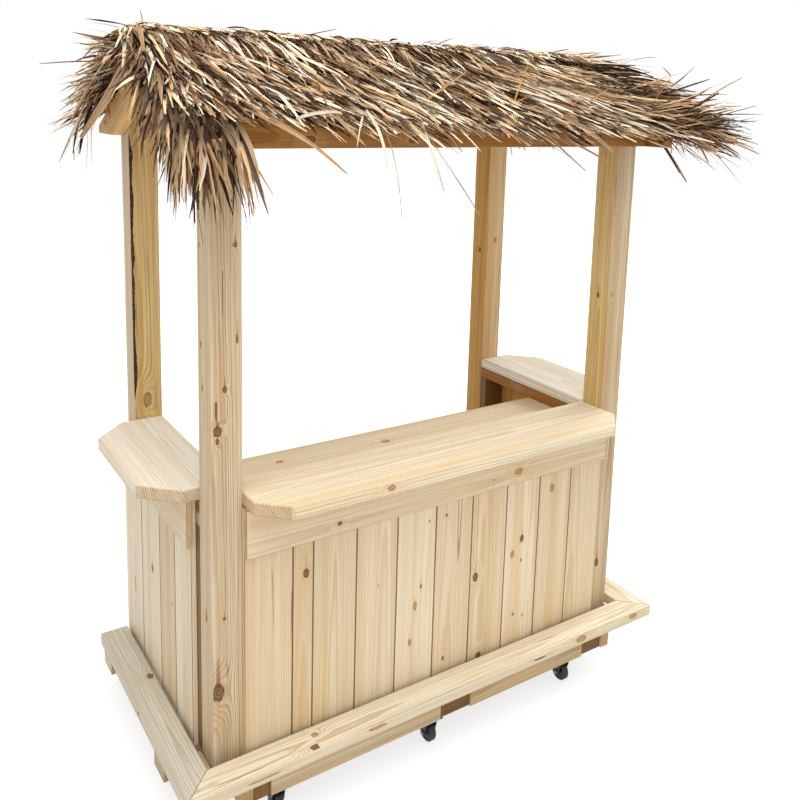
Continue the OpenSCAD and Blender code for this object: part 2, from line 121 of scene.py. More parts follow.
class Sheet:
    """Writes shader nodes into one tree; each call gives back the socket to go on from."""

    def __init__(self, tree: bpy.types.NodeTree) -> None:
        """Keeps the tree to write into."""
        self.tree = tree

    def add(self, kind: str, **settings: object) -> Node:
        """Adds a node.

        Args:
            kind: The node's Blender type.
            **settings: Properties to set on it.

        Returns:
            The new node.
        """
        node = self.tree.nodes.new(kind)
        for key, value in settings.items():
            setattr(node, key, value)
        return node

    def feed(self, socket: Socket, value: object) -> None:
        """Links a socket into an input, or sets a plain value on it.

        Args:
            socket: The input.
            value: A socket or a plain value.
        """
        if isinstance(value, bpy.types.NodeSocket):
            self.tree.links.new(value, socket)
        else:
            socket.default_value = value

    def node(self, kind: str, *values: object, out: int = 0, **settings: object) -> Socket:
        """Adds a node and feeds its first inputs.

        Args:
            kind: The node's Blender type.
            *values: A number, vector or socket for each input in turn.
            out: Which output is wanted.
            **settings: Properties to set on it.

        Returns:
            The wanted output.
        """
        node = self.add(kind, **settings)
        for socket, value in zip(node.inputs, values):
            self.feed(socket, value)
        return node.outputs[out]

    def math(self, operation: str, *values: object) -> Socket:
        """Works out one step of arithmetic."""
        return self.node("ShaderNodeMath", *values, operation=operation)

    def plus(self, first: object, second: object) -> Socket:
        """Adds."""
        return self.math("ADD", first, second)

    def minus(self, first: object, second: object) -> Socket:
        """Takes the second from the first."""
        return self.math("SUBTRACT", first, second)

    def over(self, first: object, second: object) -> Socket:
        """Divides the first by the second."""
        return self.math("DIVIDE", first, second)

    def times(self, first: object, *others: object) -> Socket:
        """Multiplies them all, from the left.

        Args:
            first: A number or socket.
            *others: Numbers or sockets.

        Returns:
            The socket with the product.
        """
        for other in others:
            first = self.math("MULTIPLY", first, other)
        return first

    def rest(self, share: object) -> Socket:
        """Gives what a share leaves of 1."""
        return self.minus(1.0, share)

    def span(self, value: object, low: object, high: object) -> Socket:
        """Rises smoothly from 0 to 1 as the value goes from low to high."""
        return self.node("ShaderNodeMapRange", value, low, high, 0.0, 1.0,
                         interpolation_type="SMOOTHSTEP")

    def scaled(self, vector: object, factors: Point) -> Socket:
        """Stretches a vector by one factor for each axis."""
        return self.node("ShaderNodeVectorMath", vector, factors, operation="MULTIPLY")

    def length(self, vector: object) -> Socket:
        """Measures a vector."""
        return self.node("ShaderNodeVectorMath", vector, out=1, operation="LENGTH")

    def split(self, vector: object) -> tuple[Socket, ...]:
        """Takes a vector apart."""
        return tuple(self.node("ShaderNodeSeparateXYZ", vector).node.outputs)

    def noise(self, vector: object, factors: Point, detail: float = 2.0,
              rough: float = 0.5) -> Socket:
        """Samples smooth noise, about 0.5 on average, at a vector times its factors."""
        return self.node("ShaderNodeTexNoise", self.scaled(vector, factors), 0.0, 1.0, detail, rough)

    def mix(self, share: object, first: object, second: object, blend: str = "MIX") -> Socket:
        """Mixes two colours.

        Args:
            share: Share of the second colour.
            first: First colour: a socket, a linear colour or a screen colour.
            second: Second colour.
            blend: How they mix.

        Returns:
            The socket with the mixed colour.
        """
        node = self.add("ShaderNodeMix", data_type="RGBA", blend_type=blend)
        for index, value in ((0, share), (6, first), (7, second)):
            screen = isinstance(value, tuple) and len(value) == 3
            self.feed(node.inputs[index], paint(value) if screen else value)
        return node.outputs[2]

    def coat(self, under: object, mask: object, share: float, colour: Rgb) -> Socket:
        """Lays a share of a colour over another one where a mask shows."""
        return self.mix(self.times(mask, share), under, colour)

    def tinge(self, under: Socket, mask: object, colour: object) -> Socket:
        """Multiplies a colour by another one where a mask shows."""
        return self.mix(mask, under, self.mix(1.0, under, colour, "MULTIPLY"))

    def attribute(self, name: str) -> Outputs:
        """Reads a mesh attribute."""
        return self.add("ShaderNodeAttribute", attribute_name=name).outputs

    def bump(self, shader: Node, height: Socket, depth: float, strength: float) -> None:
        """Feeds a height through a Bump node into a shader's normal.

        Args:
            shader: The shader node.
            height: Height, 0 to 1.
            depth: What a height of 1 stands for, in metres.
            strength: Strength of the bump.
        """
        bump = self.add("ShaderNodeBump")
        bump.inputs["Strength"].default_value = strength
        bump.inputs["Distance"].default_value = depth
        self.feed(bump.inputs["Height"], height)
        self.feed(shader.inputs["Normal"], bump.outputs[0])


FLOAT = "NodeSocketFloat"
VECTOR = "NodeSocketVector"


class Effect:
    """A shader node group shared by several finishes, built once and placed with own values."""

    name: str = ""
    takes: dict[str, str] = {}
    gives: tuple[str, ...] = ()

    def draw(self, sheet: Sheet, given: Outputs) -> dict[str, Socket]:
        """Writes the effect's nodes.

        Args:
            sheet: Where to write them.
            given: The group's inputs.

        Returns:
            The socket for each of the group's outputs.
        """
        raise NotImplementedError

    def tree(self) -> bpy.types.NodeTree:
        """Finds the group, or builds it on first use.

        Returns:
            The group's node tree.
        """
        found = bpy.data.node_groups.get(self.name)
        if found:
            return found
        tree = bpy.data.node_groups.new(self.name, "ShaderNodeTree")
        for label, kind in self.takes.items():
            tree.interface.new_socket(name=label, in_out="INPUT", socket_type=kind)
        for label in self.gives:
            tree.interface.new_socket(name=label, in_out="OUTPUT", socket_type=FLOAT)
        sheet = Sheet(tree)
        given = sheet.add("NodeGroupInput").outputs
        wanted = sheet.add("NodeGroupOutput").inputs
        for label, socket in self.draw(sheet, given).items():
            sheet.feed(wanted[label], socket)
        return tree

    def place(self, sheet: Sheet, **values: object) -> Outputs:
        """Places the group in a material.

        Args:
            sheet: The material's sheet.
            **values: A number or socket for each input.

        Returns:
            The group node's outputs.
        """
        node = sheet.add("ShaderNodeGroup", node_tree=self.tree())
        for label, value in values.items():
            sheet.feed(node.inputs[label], value)
        return node.outputs


class GrowthRings(Effect):
    """Year rings of a log, cut by the faces of a board, with broad flames and fine streaks."""

    name = "growth_rings"
    takes = {"log": VECTOR, "push": FLOAT, "spacing": FLOAT, "warp": FLOAT}
    gives = ("late", "flame", "streak")

    def draw(self, sheet: Sheet, given: Outputs) -> dict[str, Socket]:
        """Writes the rings, flames and streaks.

        Args:
            sheet: Where to write them.
            given: Log place, push of a knot, ring spacing and warp.

        Returns:
            Late wood, flame and streak masks.
        """
        log = given["log"]
        radius = sheet.length(sheet.scaled(log, (0.0, 1.0, 1.0)))
        bent = sheet.times(sheet.minus(sheet.noise(log, (0.5, 5.0, 5.0)), 0.5), given["warp"])
        rough = sheet.times(sheet.minus(sheet.noise(log, (8.0, 70.0, 70.0)), 0.5), 0.0026)
        grown = sheet.plus(radius, sheet.plus(bent, rough))
        tapered = sheet.math("MULTIPLY_ADD", sheet.split(log)[0], 0.007, grown)
        phase = sheet.over(sheet.plus(tapered, given["push"]), given["spacing"])
        ring = sheet.math("FRACT", phase)
        year = sheet.add("ShaderNodeTexWhiteNoise", noise_dimensions="1D")
        sheet.feed(year.inputs["W"], sheet.math("FLOOR", phase))
        strength = sheet.span(year.outputs["Value"], -0.6, 1.0)
        fall = sheet.rest(sheet.span(ring, 0.88, 1.0))
        return {"late": sheet.times(sheet.span(ring, 0.25, 0.86), fall, strength),
                "flame": sheet.span(sheet.noise(log, (0.3, 21.0, 21.0)), 0.45, 0.64),
                "streak": sheet.noise(log, (3.0, 210.0, 210.0))}


class BoardKnots(Effect):
    """Knots in a board: a broken ring, a grained heart, and the wood that flows round them."""

    name = "board_knots"
    takes = {"knot": VECTOR}
    gives = ("heart", "rim", "eye", "dead", "push", "halo", "tail")

    def draw(self, sheet: Sheet, given: Outputs) -> dict[str, Socket]:
        """Writes the knot's zones.

        Args:
            sheet: Where to write them.
            given: Distance along and across from the knot's middle, and its radius, which is
                below zero for a dead, dark knot.

        Returns:
            Masks of heart, rim, eye and dead knots, the push on the rings, the halo, and the
            streak of pitch above a dead knot.
        """
        knot = given["knot"]
        along, across, signed = sheet.split(knot)
        radius = sheet.math("ABSOLUTE", signed)
        parts = (along, across, radius)
        dead = sheet.math("LESS_THAN", signed, 0.0)
        uneven = sheet.math("MULTIPLY_ADD", sheet.noise(knot, (70.0, 70.0, 0.0)), 0.5, 0.75)
        far = sheet.over(sheet.length(sheet.scaled(knot, (1.0, 1.0, 0.0))),
                         sheet.times(radius, uneven))
        torn = sheet.span(sheet.noise(knot, (110.0, 110.0, 0.0)), 0.28, 0.55)
        outer = sheet.rest(sheet.span(far, 1.0, 1.18))
        rise = sheet.over(along, radius)
        taper = sheet.span(rise, 8.0, 0.0)
        thick = sheet.plus(sheet.times(radius, taper, 0.5), 0.0002)
        beside = sheet.over(sheet.math("ABSOLUTE", across), thick)
        return {"heart": sheet.rest(sheet.span(far, 0.88, 1.04)),
                "rim": sheet.times(sheet.span(far, 0.76, 0.97), outer, torn),
                "eye": sheet.span(sheet.math("SINE", sheet.times(far, 15.0)), -0.7, 1.0),
                "dead": dead,
                "push": sheet.times(radius, 1.5, self.swell(sheet, parts, 3.0, 1.9)),
                "halo": self.swell(sheet, parts, 3.4, 1.7),
                "tail": sheet.times(sheet.span(beside, 1.1, 0.5), sheet.span(rise, 0.0, 0.6),
                                    taper, dead)}

    def swell(self, sheet: Sheet, parts: tuple[Socket, ...], long: float, wide: float) -> Socket:
        """Writes a soft oval hill round a knot.

        Args:
            sheet: Where to write it.
            parts: Distance along and across the grain, and the knot's radius.
            long: Reach along the grain, in radii.
            wide: Reach across the grain, in radii.

        Returns:
            The socket with the hill's height, 0 to 1.
        """
        first = sheet.over(parts[0], sheet.times(parts[2], long))
        second = sheet.over(parts[1], sheet.times(parts[2], wide))
        total = sheet.plus(sheet.times(first, first), sheet.times(second, second))
        return sheet.math("EXPONENT", sheet.times(total, -1.0))


class DryingCracks(Effect):
    """Hairline cracks that run with the grain of dry timber."""

    name = "drying_cracks"
    takes = {"cut": VECTOR, "amount": FLOAT}
    gives = ("crack",)

    def draw(self, sheet: Sheet, given: Outputs) -> dict[str, Socket]:
        """Writes the crack lines.

        Args:
            sheet: Where to write them.
            given: Place on the face, and how much of it cracks.

        Returns:
            The crack mask.
        """
        cut = given["cut"]
        off = sheet.math("ABSOLUTE", sheet.minus(sheet.noise(cut, (0.42, 24.0, 3.0), 0.0), 0.5))
        need = sheet.minus(0.74, sheet.times(given["amount"], 0.3))
        gate = sheet.span(sheet.noise(cut, (1.9, 11.0, 5.0), 1.0), need, sheet.plus(need, 0.05))
        return {"crack": sheet.times(sheet.rest(sheet.span(off, 0.003, 0.0125)), gate)}


class LeafFibre(Effect):
    """Long fibres of a dry leaf blade, its pale rib, a painted highlight on its edges and painted shade
    at its root.
    """

    name = "leaf_fibre"
    takes = {"leaf": VECTOR, "seed": FLOAT}
    gives = ("fibre", "rib", "rand", "root")

    def draw(self, sheet: Sheet, given: Outputs) -> dict[str, Socket]:
        """Writes the fibres.

        Args:
            sheet: Where to write them.
            given: Tint, place along and place across the blade, and its own seed.

        Returns:
            Fibre, rib, painted edge highlight and painted root shade masks.
        """
        _, along, across = sheet.split(given["leaf"])
        place = sheet.node("ShaderNodeCombineXYZ", along, across, given["seed"])
        wide = sheet.math("ABSOLUTE", across)
        # The edge mask is a painted highlight, and the root mask is painted shade.
        return {"fibre": sheet.noise(place, (4.0, 3.4, 91.0), 3.0, 0.6),
                "rib": sheet.rest(sheet.span(wide, 0.0, 0.3)),
                "rand": sheet.span(wide, 0.66, 1.0),
                "root": sheet.rest(sheet.span(along, 0.05, 0.6))}


class FloorDust(Effect):
    """Dust and scuffs on the casters, thicker near the floor."""

    name = "floor_dust"
    takes = {"place": VECTOR, "reach": FLOAT}
    gives = ("dust", "scuff")

    def draw(self, sheet: Sheet, given: Outputs) -> dict[str, Socket]:
        """Writes dust and scuffs.

        Args:
            sheet: Where to write them.
            given: Place on the piece, and the height that the dust reaches.

        Returns:
            Dust and scuff masks.
        """
        place = given["place"]
        low = sheet.rest(sheet.span(sheet.split(place)[2], 0.0, given["reach"]))
        cloud = sheet.span(sheet.noise(place, (60.0, 60.0, 60.0), 4.0), 0.4, 0.7)
        return {"dust": sheet.times(cloud, sheet.plus(low, 0.25)),
                "scuff": sheet.span(sheet.noise(place, (90.0, 400.0, 400.0)), 0.6, 0.7)}


RINGS = GrowthRings()
KNOTS = BoardKnots()
CRACKS = DryingCracks()
FIBRE = LeafFibre()
DUST = FloorDust()


def new_material(name: str) -> tuple[bpy.types.Material, Sheet, Node]:
    """Starts a material.

    Args:
        name: Its name.

    Returns:
        The material, its sheet and its Principled shader.
    """
    material = bpy.data.materials.new(name)
    material.use_nodes = True
    return material, Sheet(material.node_tree), material.node_tree.nodes["Principled BSDF"]


@dataclass(frozen=True)
class Finish:
    """A procedural material that is made when it is first asked for."""

    name: str

    def draw(self, sheet: Sheet, shader: Node) -> None:
        """Writes the material's nodes.

        Args:
            sheet: The material's sheet.
            shader: Its Principled shader.
        """
        raise NotImplementedError

    def material(self) -> bpy.types.Material:
        """Finds the material, or makes it.

        Returns:
            The material.
        """
        found = bpy.data.materials.get(self.name)
        if found:
            return found
        material, sheet, shader = new_material(self.name)
        self.draw(sheet, shader)
        return material


@dataclass(frozen=True)
class PineFinish(Finish):
    """Planed pine with its own colours and its share of knots, cracks and grey; painted shade darkens
    its rounded edges, and a tint on faces turned into the bar is partly painted shade.
    """

    early: Rgb
    late: Rgb
    flame: Rgb
    shade: Rgb
    ring: float = 0.0056
    warp: float = 0.034
    line_share: float = 0.64
    flame_share: float = 0.8
    grey_share: float = 0.2
    crack_share: float = 0.3
    edge_shade_share: float = 0.12
    tail_share: float = 0.25
    shade_and_shelter_tint: Rgba = (1.13, 1.03, 0.68, 1.0)

    def draw(self, sheet: Sheet, shader: Node) -> None:
        """Writes rings, age, knots, cracks, end grain, painted shade on rounded edges and the partly
        painted shade of faces turned into the bar.

        Args:
            sheet: The material's sheet.
            shader: Its Principled shader.
        """
        log = sheet.attribute("log")["Vector"]
        cut = sheet.attribute("cut")["Vector"]
        # This attribute holds each board's random tone, a mask of faces turned into the bar (partly
        # painted shade) and a mask of rounded edges (painted shade).
        tone, shade_and_shelter, edge = sheet.split(sheet.attribute("tone_and_shade")["Vector"])
        end = sheet.split(cut)[2]
        knots = KNOTS.place(sheet, knot=sheet.attribute("knot")["Vector"])
        rings = RINGS.place(sheet, log=log, push=knots["push"], spacing=self.ring, warp=self.warp)
        crack = CRACKS.place(sheet, cut=cut, amount=self.crack_share)["crack"]
        late = rings["late"]
        streak = rings["streak"]
        wood = sheet.coat(self.early, late, self.line_share, self.late)
        wood = sheet.mix(sheet.times(rings["flame"], self.flame_share), wood,
                         sheet.mix(0.6, wood, self.flame))
        aged = sheet.span(sheet.noise(log, (1.7, 6.0, 6.0), 4.0), 0.35, 0.75)
        wood = sheet.coat(wood, aged, self.grey_share, (206, 201, 188))
        wood = sheet.coat(wood, sheet.span(streak, 0.42, 0.7), 0.34, self.late)
        wood = sheet.tinge(wood, tone, self.shade)
        # Faces turned into the bar take a golden tint: partly the colour of wood kept out of the
        # weather, partly painted shade.
        wood = sheet.tinge(wood, shade_and_shelter, self.shade_and_shelter_tint)
        wood = self.knotted(sheet, wood, knots)
        # Rounded edges turn dark brown: painted shade, so that the joints between boards read as dark
        # lines.
        for mask, share, colour in ((crack, 0.8, (104, 72, 42)),
                                    (edge, self.edge_shade_share, (92, 62, 34)),
                                    (end, 0.5, (186, 146, 94)),
                                    (sheet.times(end, late), 0.7, (122, 86, 50))):
            wood = sheet.coat(wood, mask, share, colour)
        sheet.feed(shader.inputs["Base Color"], wood)
        sheet.feed(shader.inputs["Roughness"], sheet.math("MULTIPLY_ADD", streak, 0.16, 0.54))
        shader.inputs["Specular IOR Level"].default_value = 0.32
        raised = sheet.plus(sheet.times(late, 0.35), sheet.times(streak, 0.5))
        hollow = sheet.minus(raised, sheet.times(crack, 2.0))
        sheet.bump(shader, sheet.plus(hollow, sheet.times(knots["rim"], -0.8)), 0.0007, 0.5)

    def knotted(self, sheet: Sheet, wood: Socket, knots: Outputs) -> Socket:
        """Lays the knots' colours over the wood.

        Args:
            sheet: The material's sheet.
            wood: Colour of the wood without knots.
            knots: Outputs of the knot group.

        Returns:
            The socket with the colour.
        """
        wood = sheet.coat(wood, knots["halo"], 0.34, (210, 170, 112))
        wood = sheet.coat(wood, knots["tail"], self.tail_share, (112, 74, 40))
        sound = sheet.mix(knots["eye"], (150, 110, 70), (198, 160, 112))
        dark = sheet.mix(knots["eye"], (84, 54, 30), (136, 94, 54))
        wood = sheet.coat(wood, knots["heart"], 0.9, sheet.mix(knots["dead"], sound, dark))
        ring = sheet.mix(knots["dead"], (108, 74, 44), (52, 32, 18))
        return sheet.coat(wood, knots["rim"], 0.8, ring)


# The wall boards and aprons take a strong share of painted shade on their rounded edges.
PALE_PINE = PineFinish("pale_pine", (234, 220, 194), (205, 177, 136), (214, 178, 124),
                       (234, 222, 202), edge_shade_share=0.85)
# The side walls' inner faces take a deep brown tint: mostly painted shade.
SIDE_PINE = PineFinish("side_pine", (232, 220, 198), (202, 178, 140), (208, 178, 132),
                       (232, 222, 206), grey_share=0.3, edge_shade_share=0.85,
                       shade_and_shelter_tint=(0.82, 0.52, 0.16, 1.0))
# Darker than the wall boards: partly the posts' own colour, partly painted shade.
POST_PINE = PineFinish("post_pine", (216, 198, 165), (146, 112, 70), (180, 144, 98),
                       (228, 212, 184), ring=0.0044, warp=0.024, line_share=0.78,
                       grey_share=0.34, crack_share=0.5, tail_share=0.75)
COUNTER_PINE = PineFinish("counter_pine", (234, 223, 197), (194, 162, 114), (218, 188, 136),
                          (240, 230, 210), line_share=0.7, crack_share=0.1)
# The side counters are greyer from weather and paler than the front one: painted light on tops that lie
# in the roof's shade.
SIDE_COUNTER = PineFinish("side_counter", (240, 234, 220), (192, 172, 140), (222, 200, 164),
                          (240, 232, 218), line_share=0.7, grey_share=0.3, crack_share=0.1)
RAIL_PINE = PineFinish("rail_pine", (236, 226, 204), (176, 152, 114), (210, 184, 140),
                       (226, 218, 202), ring=0.0038, warp=0.009, line_share=0.74,
                       grey_share=0.3)
SIDE_RAIL = PineFinish("side_rail", (214, 207, 192), (154, 141, 118), (190, 176, 148),
                       (226, 220, 208), ring=0.0036, warp=0.007, line_share=0.8,
                       grey_share=0.35)
# Deep golden pine for the roof frame and the ledgers: partly the colour of wood kept out of the weather,
# partly painted shade.
ROOF_PINE = PineFinish("roof_pine", (184, 132, 54), (126, 76, 20), (146, 90, 26),
                       (214, 190, 150), grey_share=0.04, crack_share=0.7)
# Dark brown pine for the studs, the front rim and the slot packing, which are seen only in shade:
# painted shade.
DARK_PINE = PineFinish("dark_pine", (136, 98, 42), (88, 58, 20), (112, 78, 30),
                       (214, 196, 166), grey_share=0.04, crack_share=0.4)
GOLD_PINE = PineFinish("gold_pine", (228, 188, 126), (176, 130, 72), (196, 146, 82),
                       (228, 208, 172), grey_share=0.1, crack_share=0.5)
# The rear right post's inner face takes a deep tint: mostly painted shade.
REAR_PINE = PineFinish("rear_pine", (244, 220, 178), (176, 138, 88), (208, 166, 110),
                       (232, 214, 184), ring=0.0044, warp=0.024, line_share=0.72,
                       grey_share=0.15, crack_share=0.5, shade_and_shelter_tint=(0.84, 0.68, 0.34, 1.0))


@dataclass(frozen=True)
class LeafFinish(Finish):
    """Dry leaf: five tones that blades are dealt from, from dark to pale, and a grey."""

    tones: tuple[Rgb, Rgb, Rgb, Rgb, Rgb]
    grey: Rgb
    grey_share: float

    def draw(self, sheet: Sheet, shader: Node) -> None:
        """Writes the blade's tone, fibres, pale rib, painted highlight on its edges and painted shade at
        its root.

        Args:
            sheet: The material's sheet.
            shader: Its Principled shader.
        """
        leaf = sheet.attribute("leaf")["Vector"]
        seed = sheet.attribute("leaf_seed")["Fac"]
        fibre = FIBRE.place(sheet, leaf=leaf, seed=seed)
        tint = sheet.split(leaf)[0]
        ramp = sheet.add("ShaderNodeValToRGB")
        stops = ramp.color_ramp.elements
        for share in (0.25, 0.5, 0.75):
            stops.new(share)
        for stop, tone in zip(stops, self.tones):
            stop.color = paint(tone)
        sheet.feed(ramp.inputs[0], tint)
        blade = sheet.coat(ramp.outputs[0], sheet.span(seed, 0.54, 0.76), self.grey_share, self.grey)
        blade = sheet.mix(sheet.span(fibre["fibre"], 0.38, 0.66), blade,
                          sheet.mix(0.5, blade, self.tones[0]))
        # Pale rib, and a painted highlight along the blade's edges.
        pale = sheet.math("MAXIMUM", sheet.times(fibre["rib"], 0.16), sheet.times(fibre["rand"], 0.5))
        blade = sheet.mix(sheet.times(pale, sheet.span(tint, 0.12, 0.5)), blade, self.tones[4])
        # Painted shade at the root, where other blades cover it.
        blade = sheet.coat(blade, fibre["root"], 0.8, self.tones[0])
        sheet.feed(shader.inputs["Base Color"], blade)
        sheet.feed(shader.inputs["Roughness"], sheet.math("MULTIPLY_ADD", fibre["fibre"], 0.3, 0.5))
        shader.inputs["Specular IOR Level"].default_value = 0.1
        sheet.bump(shader, fibre["fibre"], 0.0006, 0.5)


DRY_LEAF = LeafFinish("dry_leaf", ((34, 18, 8), (112, 70, 32), (188, 138, 82), (234, 194, 140),
                                   (255, 244, 221)), (164, 138, 111), 0.5)
LEAF_STALK = LeafFinish("leaf_stalk", ((96, 58, 26), (136, 88, 42), (168, 114, 58),
                                       (184, 132, 72), (206, 162, 104)), (150, 120, 92), 0.2)


@dataclass(frozen=True)
class BarkFinish(Finish):
    """Flaky bark, nearly black between red-brown flakes."""

    deep: Rgb
    flake: Rgb
    lichen: Rgb

    def draw(self, sheet: Sheet, shader: Node) -> None:
        """Writes flakes and lichen.

        Args:
            sheet: The material's sheet.
            shader: Its Principled shader.
        """
        place = sheet.add("ShaderNodeTexCoord").outputs["Object"]
        rough = sheet.noise(place, (190.0, 190.0, 60.0), 4.0, 0.65)
        flaked = sheet.mix(sheet.span(rough, 0.46, 0.66), self.deep, self.flake)
        spots = sheet.span(sheet.noise(place, (90.0, 90.0, 40.0)), 0.62, 0.72)
        sheet.feed(shader.inputs["Base Color"], sheet.coat(flaked, spots, 0.7, self.lichen))
        shader.inputs["Roughness"].default_value = 0.9
        sheet.bump(shader, rough, 0.002, 0.7)


BARK = BarkFinish("pine_bark", (38, 22, 12), (98, 60, 32), (168, 124, 78))


@dataclass(frozen=True)
class CasterFinish(Finish):
    """A caster's surface, rubber or steel, with dust and scuffs."""

    base: Rgb
    worn: Rgb
    dust: Rgb
    rough: float
    metal: float
    reach: float = 0.07

    def draw(self, sheet: Sheet, shader: Node) -> None:
        """Writes scuffs and dust.

        Args:
            sheet: The material's sheet.
            shader: Its Principled shader.
        """
        place = sheet.add("ShaderNodeTexCoord").outputs["Object"]
        marks = DUST.place(sheet, place=place, reach=self.reach)
        worn = sheet.coat(self.base, marks["scuff"], 0.5, self.worn)
        sheet.feed(shader.inputs["Base Color"], sheet.coat(worn, marks["dust"], 0.3, self.dust))
        dull = sheet.math("MULTIPLY_ADD", marks["dust"], 0.3, self.rough)
        sheet.feed(shader.inputs["Roughness"], dull)
        shader.inputs["Metallic"].default_value = self.metal
        sheet.bump(shader, marks["dust"], 0.0004, 0.3)


BLACK_RUBBER = CasterFinish("black_rubber", (15, 15, 18), (48, 49, 56), (84, 80, 76), 0.42, 0.0)
BLACK_STEEL = CasterFinish("black_steel", (20, 20, 23), (70, 70, 76), (96, 90, 82), 0.36, 0.0)
ZINC_STEEL = CasterFinish("zinc_steel", (150, 150, 152), (196, 196, 198), (130, 120, 104), 0.35, 0.9)


def new_mesh(name: str, verts: list, faces: list, smooth: bool = False) -> Mesh:
    """Makes a mesh.

    Args:
        name: Its name.
        verts: Its points.
        faces: The points of each face.
        smooth: Whether its faces are shaded smooth.

    Returns:
        The mesh.
    """
    mesh = bpy.data.meshes.new(name)
    mesh.from_pydata(verts, [], faces)
    if smooth:
        mesh.polygons.foreach_set("use_smooth", [True] * len(mesh.polygons))
    return mesh


def write_rows(mesh: Mesh, name: str, values: object, domain: str = "POINT") -> None:
    """Writes an attribute of a mesh, a vector or a number in each row.

    Args:
        mesh: The mesh.
        name: The attribute's name.
        values: Its rows.
        domain: What the rows belong to.
    """
    rows = np.array(values, dtype=np.float32)
    kind, key = ("FLOAT_VECTOR", "vector") if rows.ndim == 2 else ("FLOAT", "value")
    mesh.attributes.new(name, kind, domain).data.foreach_set(key, rows.ravel())


def new_object(mesh: Mesh, material: bpy.types.Material) -> Piece:
    """Puts a mesh into the scene under its own name.

    Args:
        mesh: The mesh.
        material: Its material.

    Returns:
        The new object.
    """
    mesh.materials.append(material)
    piece = bpy.data.objects.new(mesh.name, mesh)
    bpy.context.scene.collection.objects.link(piece)
    return piece


def keep_piece(piece: Piece, slot: Slot, *nodes: str) -> Piece:
    """Puts a piece on the frame and hides the nodes that it stands for.

    Args:
        piece: The piece.
        slot: Its material slot; not used.
        *nodes: The nodes that it replaces.

    Returns:
        The same piece.
    """
    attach(piece, "frame")
    if nodes:
        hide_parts(*nodes)
    LOG.info("%s: %d faces", piece.name, len(piece.data.polygons))
    return piece


@dataclass(frozen=True)
class Knot:
    """A knot on the face of a board, drawn out along the grain; below zero radius it is dead."""

    at: Point
    radius: float
    stretch: float = 1.35


def knots_on(axis: int, level: float, *rows: tuple[float, ...]) -> tuple[Knot, ...]:
    """Places knots on a flat face.

    Args:
        axis: The axis that the face is square to.
        level: The face's place on it.
        *rows: Two places in the face, the radius and, if it has its own, the stretch.

    Returns:
        The knots.
    """
    return tuple(Knot((*row[:axis], level, *row[axis:2]), *row[2:]) for row in rows)


@dataclass
class Stick:
    """One solid piece of timber in its own grain frame."""

    solid: Solid
    along: Vector = field(init=False)
    across: Vector = field(init=False)
    face: Vector = field(init=False)
    low: Vector = field(init=False)
    high: Vector = field(init=False)

    def __post_init__(self) -> None:
        """Finds the grain from the longest edge and the face from the widest side."""
        longest = max(self.solid.edges, key=lambda edge: edge.calc_length())
        self.along = (longest.verts[1].co - longest.verts[0].co).normalized()
        if sum(self.along) < 0:
            self.along = -self.along
        sides = [f for f in self.solid.faces if abs(f.normal.dot(self.along)) < 0.3]
        widest = max(sides, key=lambda f: f.calc_area())
        self.face = (widest.normal - self.along * widest.normal.dot(self.along)).normalized()
        self.across = self.face.cross(self.along).normalized()
        spread = [self.local(vert.co) for vert in self.solid.verts]
        self.low = Vector(min(p[i] for p in spread) for i in range(3))
        self.high = Vector(max(p[i] for p in spread) for i in range(3))

    def local(self, point: Vector) -> Vector:
        """Gives a point's place along, across and through the stick."""
        return Vector((point.dot(self.along), point.dot(self.across), point.dot(self.face)))

    def side_of(self, normal: Vector) -> Side:
        """Names the long face that a normal belongs to."""
        turn = math.atan2(normal.dot(self.face), normal.dot(self.across))
        return Side(round(turn / (math.pi / 2)) % 4)

    def side_at(self, place: Vector) -> Side:
        """Names the long face that a local place lies on.

        Args:
            place: The place.

        Returns:
            The nearest long face.
        """
        gaps = {Side.ACROSS_HIGH: self.high[1] - place[1], Side.FACE_HIGH: self.high[2] - place[2],
                Side.ACROSS_LOW: place[1] - self.low[1], Side.FACE_LOW: place[2] - self.low[2]}
        return min(gaps, key=lambda side: abs(gaps[side]))

    def holds(self, place: Vector, room: float = 0.006) -> bool:
        """Tells if a local place is on or in the stick."""
        return all(self.low[i] - room <= place[i] <= self.high[i] + room for i in range(3))


def split_solids(node: str) -> list[Solid]:
    """Splits a CAD node into its separate solids, welded and with their flat faces whole.

    Args:
        node: The node's name.

    Returns:
        One mesh for each solid.
    """
    whole = bmesh.new()
    whole.from_mesh(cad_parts[node].data)
    bmesh.ops.remove_doubles(whole, verts=whole.verts, dist=2e-5)
    bmesh.ops.dissolve_limit(whole, angle_limit=math.radians(1.0), verts=whole.verts[:],
                             edges=whole.edges[:])
    left = set(whole.verts)
    solids = []
    while left:
        first = min(left, key=lambda vert: vert.index)
        reached = {first}
        waiting = [first]
        while waiting:
            vert = waiting.pop()
            for edge in vert.link_edges:
                other = edge.other_vert(vert)
                if other not in reached:
                    reached.add(other)
                    waiting.append(other)
        left -= reached
        part = bmesh.new()
        copies = {vert: part.verts.new(vert.co) for vert in sorted(reached, key=lambda v: v.index)}
        for face in whole.faces:
            if face.verts[0] in reached:
                part.faces.new([copies[vert] for vert in face.verts])
        part.normal_update()
        solids.append(part)
    whole.free()
    return solids


def block(low: Point, high: Point) -> Solid:
    """Makes a block between two corners, for a piece that no node stands for.

    Args:
        low: Its low corner.
        high: Its high corner.

    Returns:
        The block.
    """
    solid = bmesh.new()
    size = Vector(high) - Vector(low)
    place = Matrix.Translation((Vector(low) + Vector(high)) / 2) @ Matrix.Diagonal((*size, 1.0))
    bmesh.ops.create_cube(solid, size=1.0, matrix=place)
    solid.normal_update()
    return solid


NO_LAP = (9.0, 0.0)
FRONT_LAP = (0.665, 0.0036)
NO_KNOT = (1.0, 1.0, 0.001)


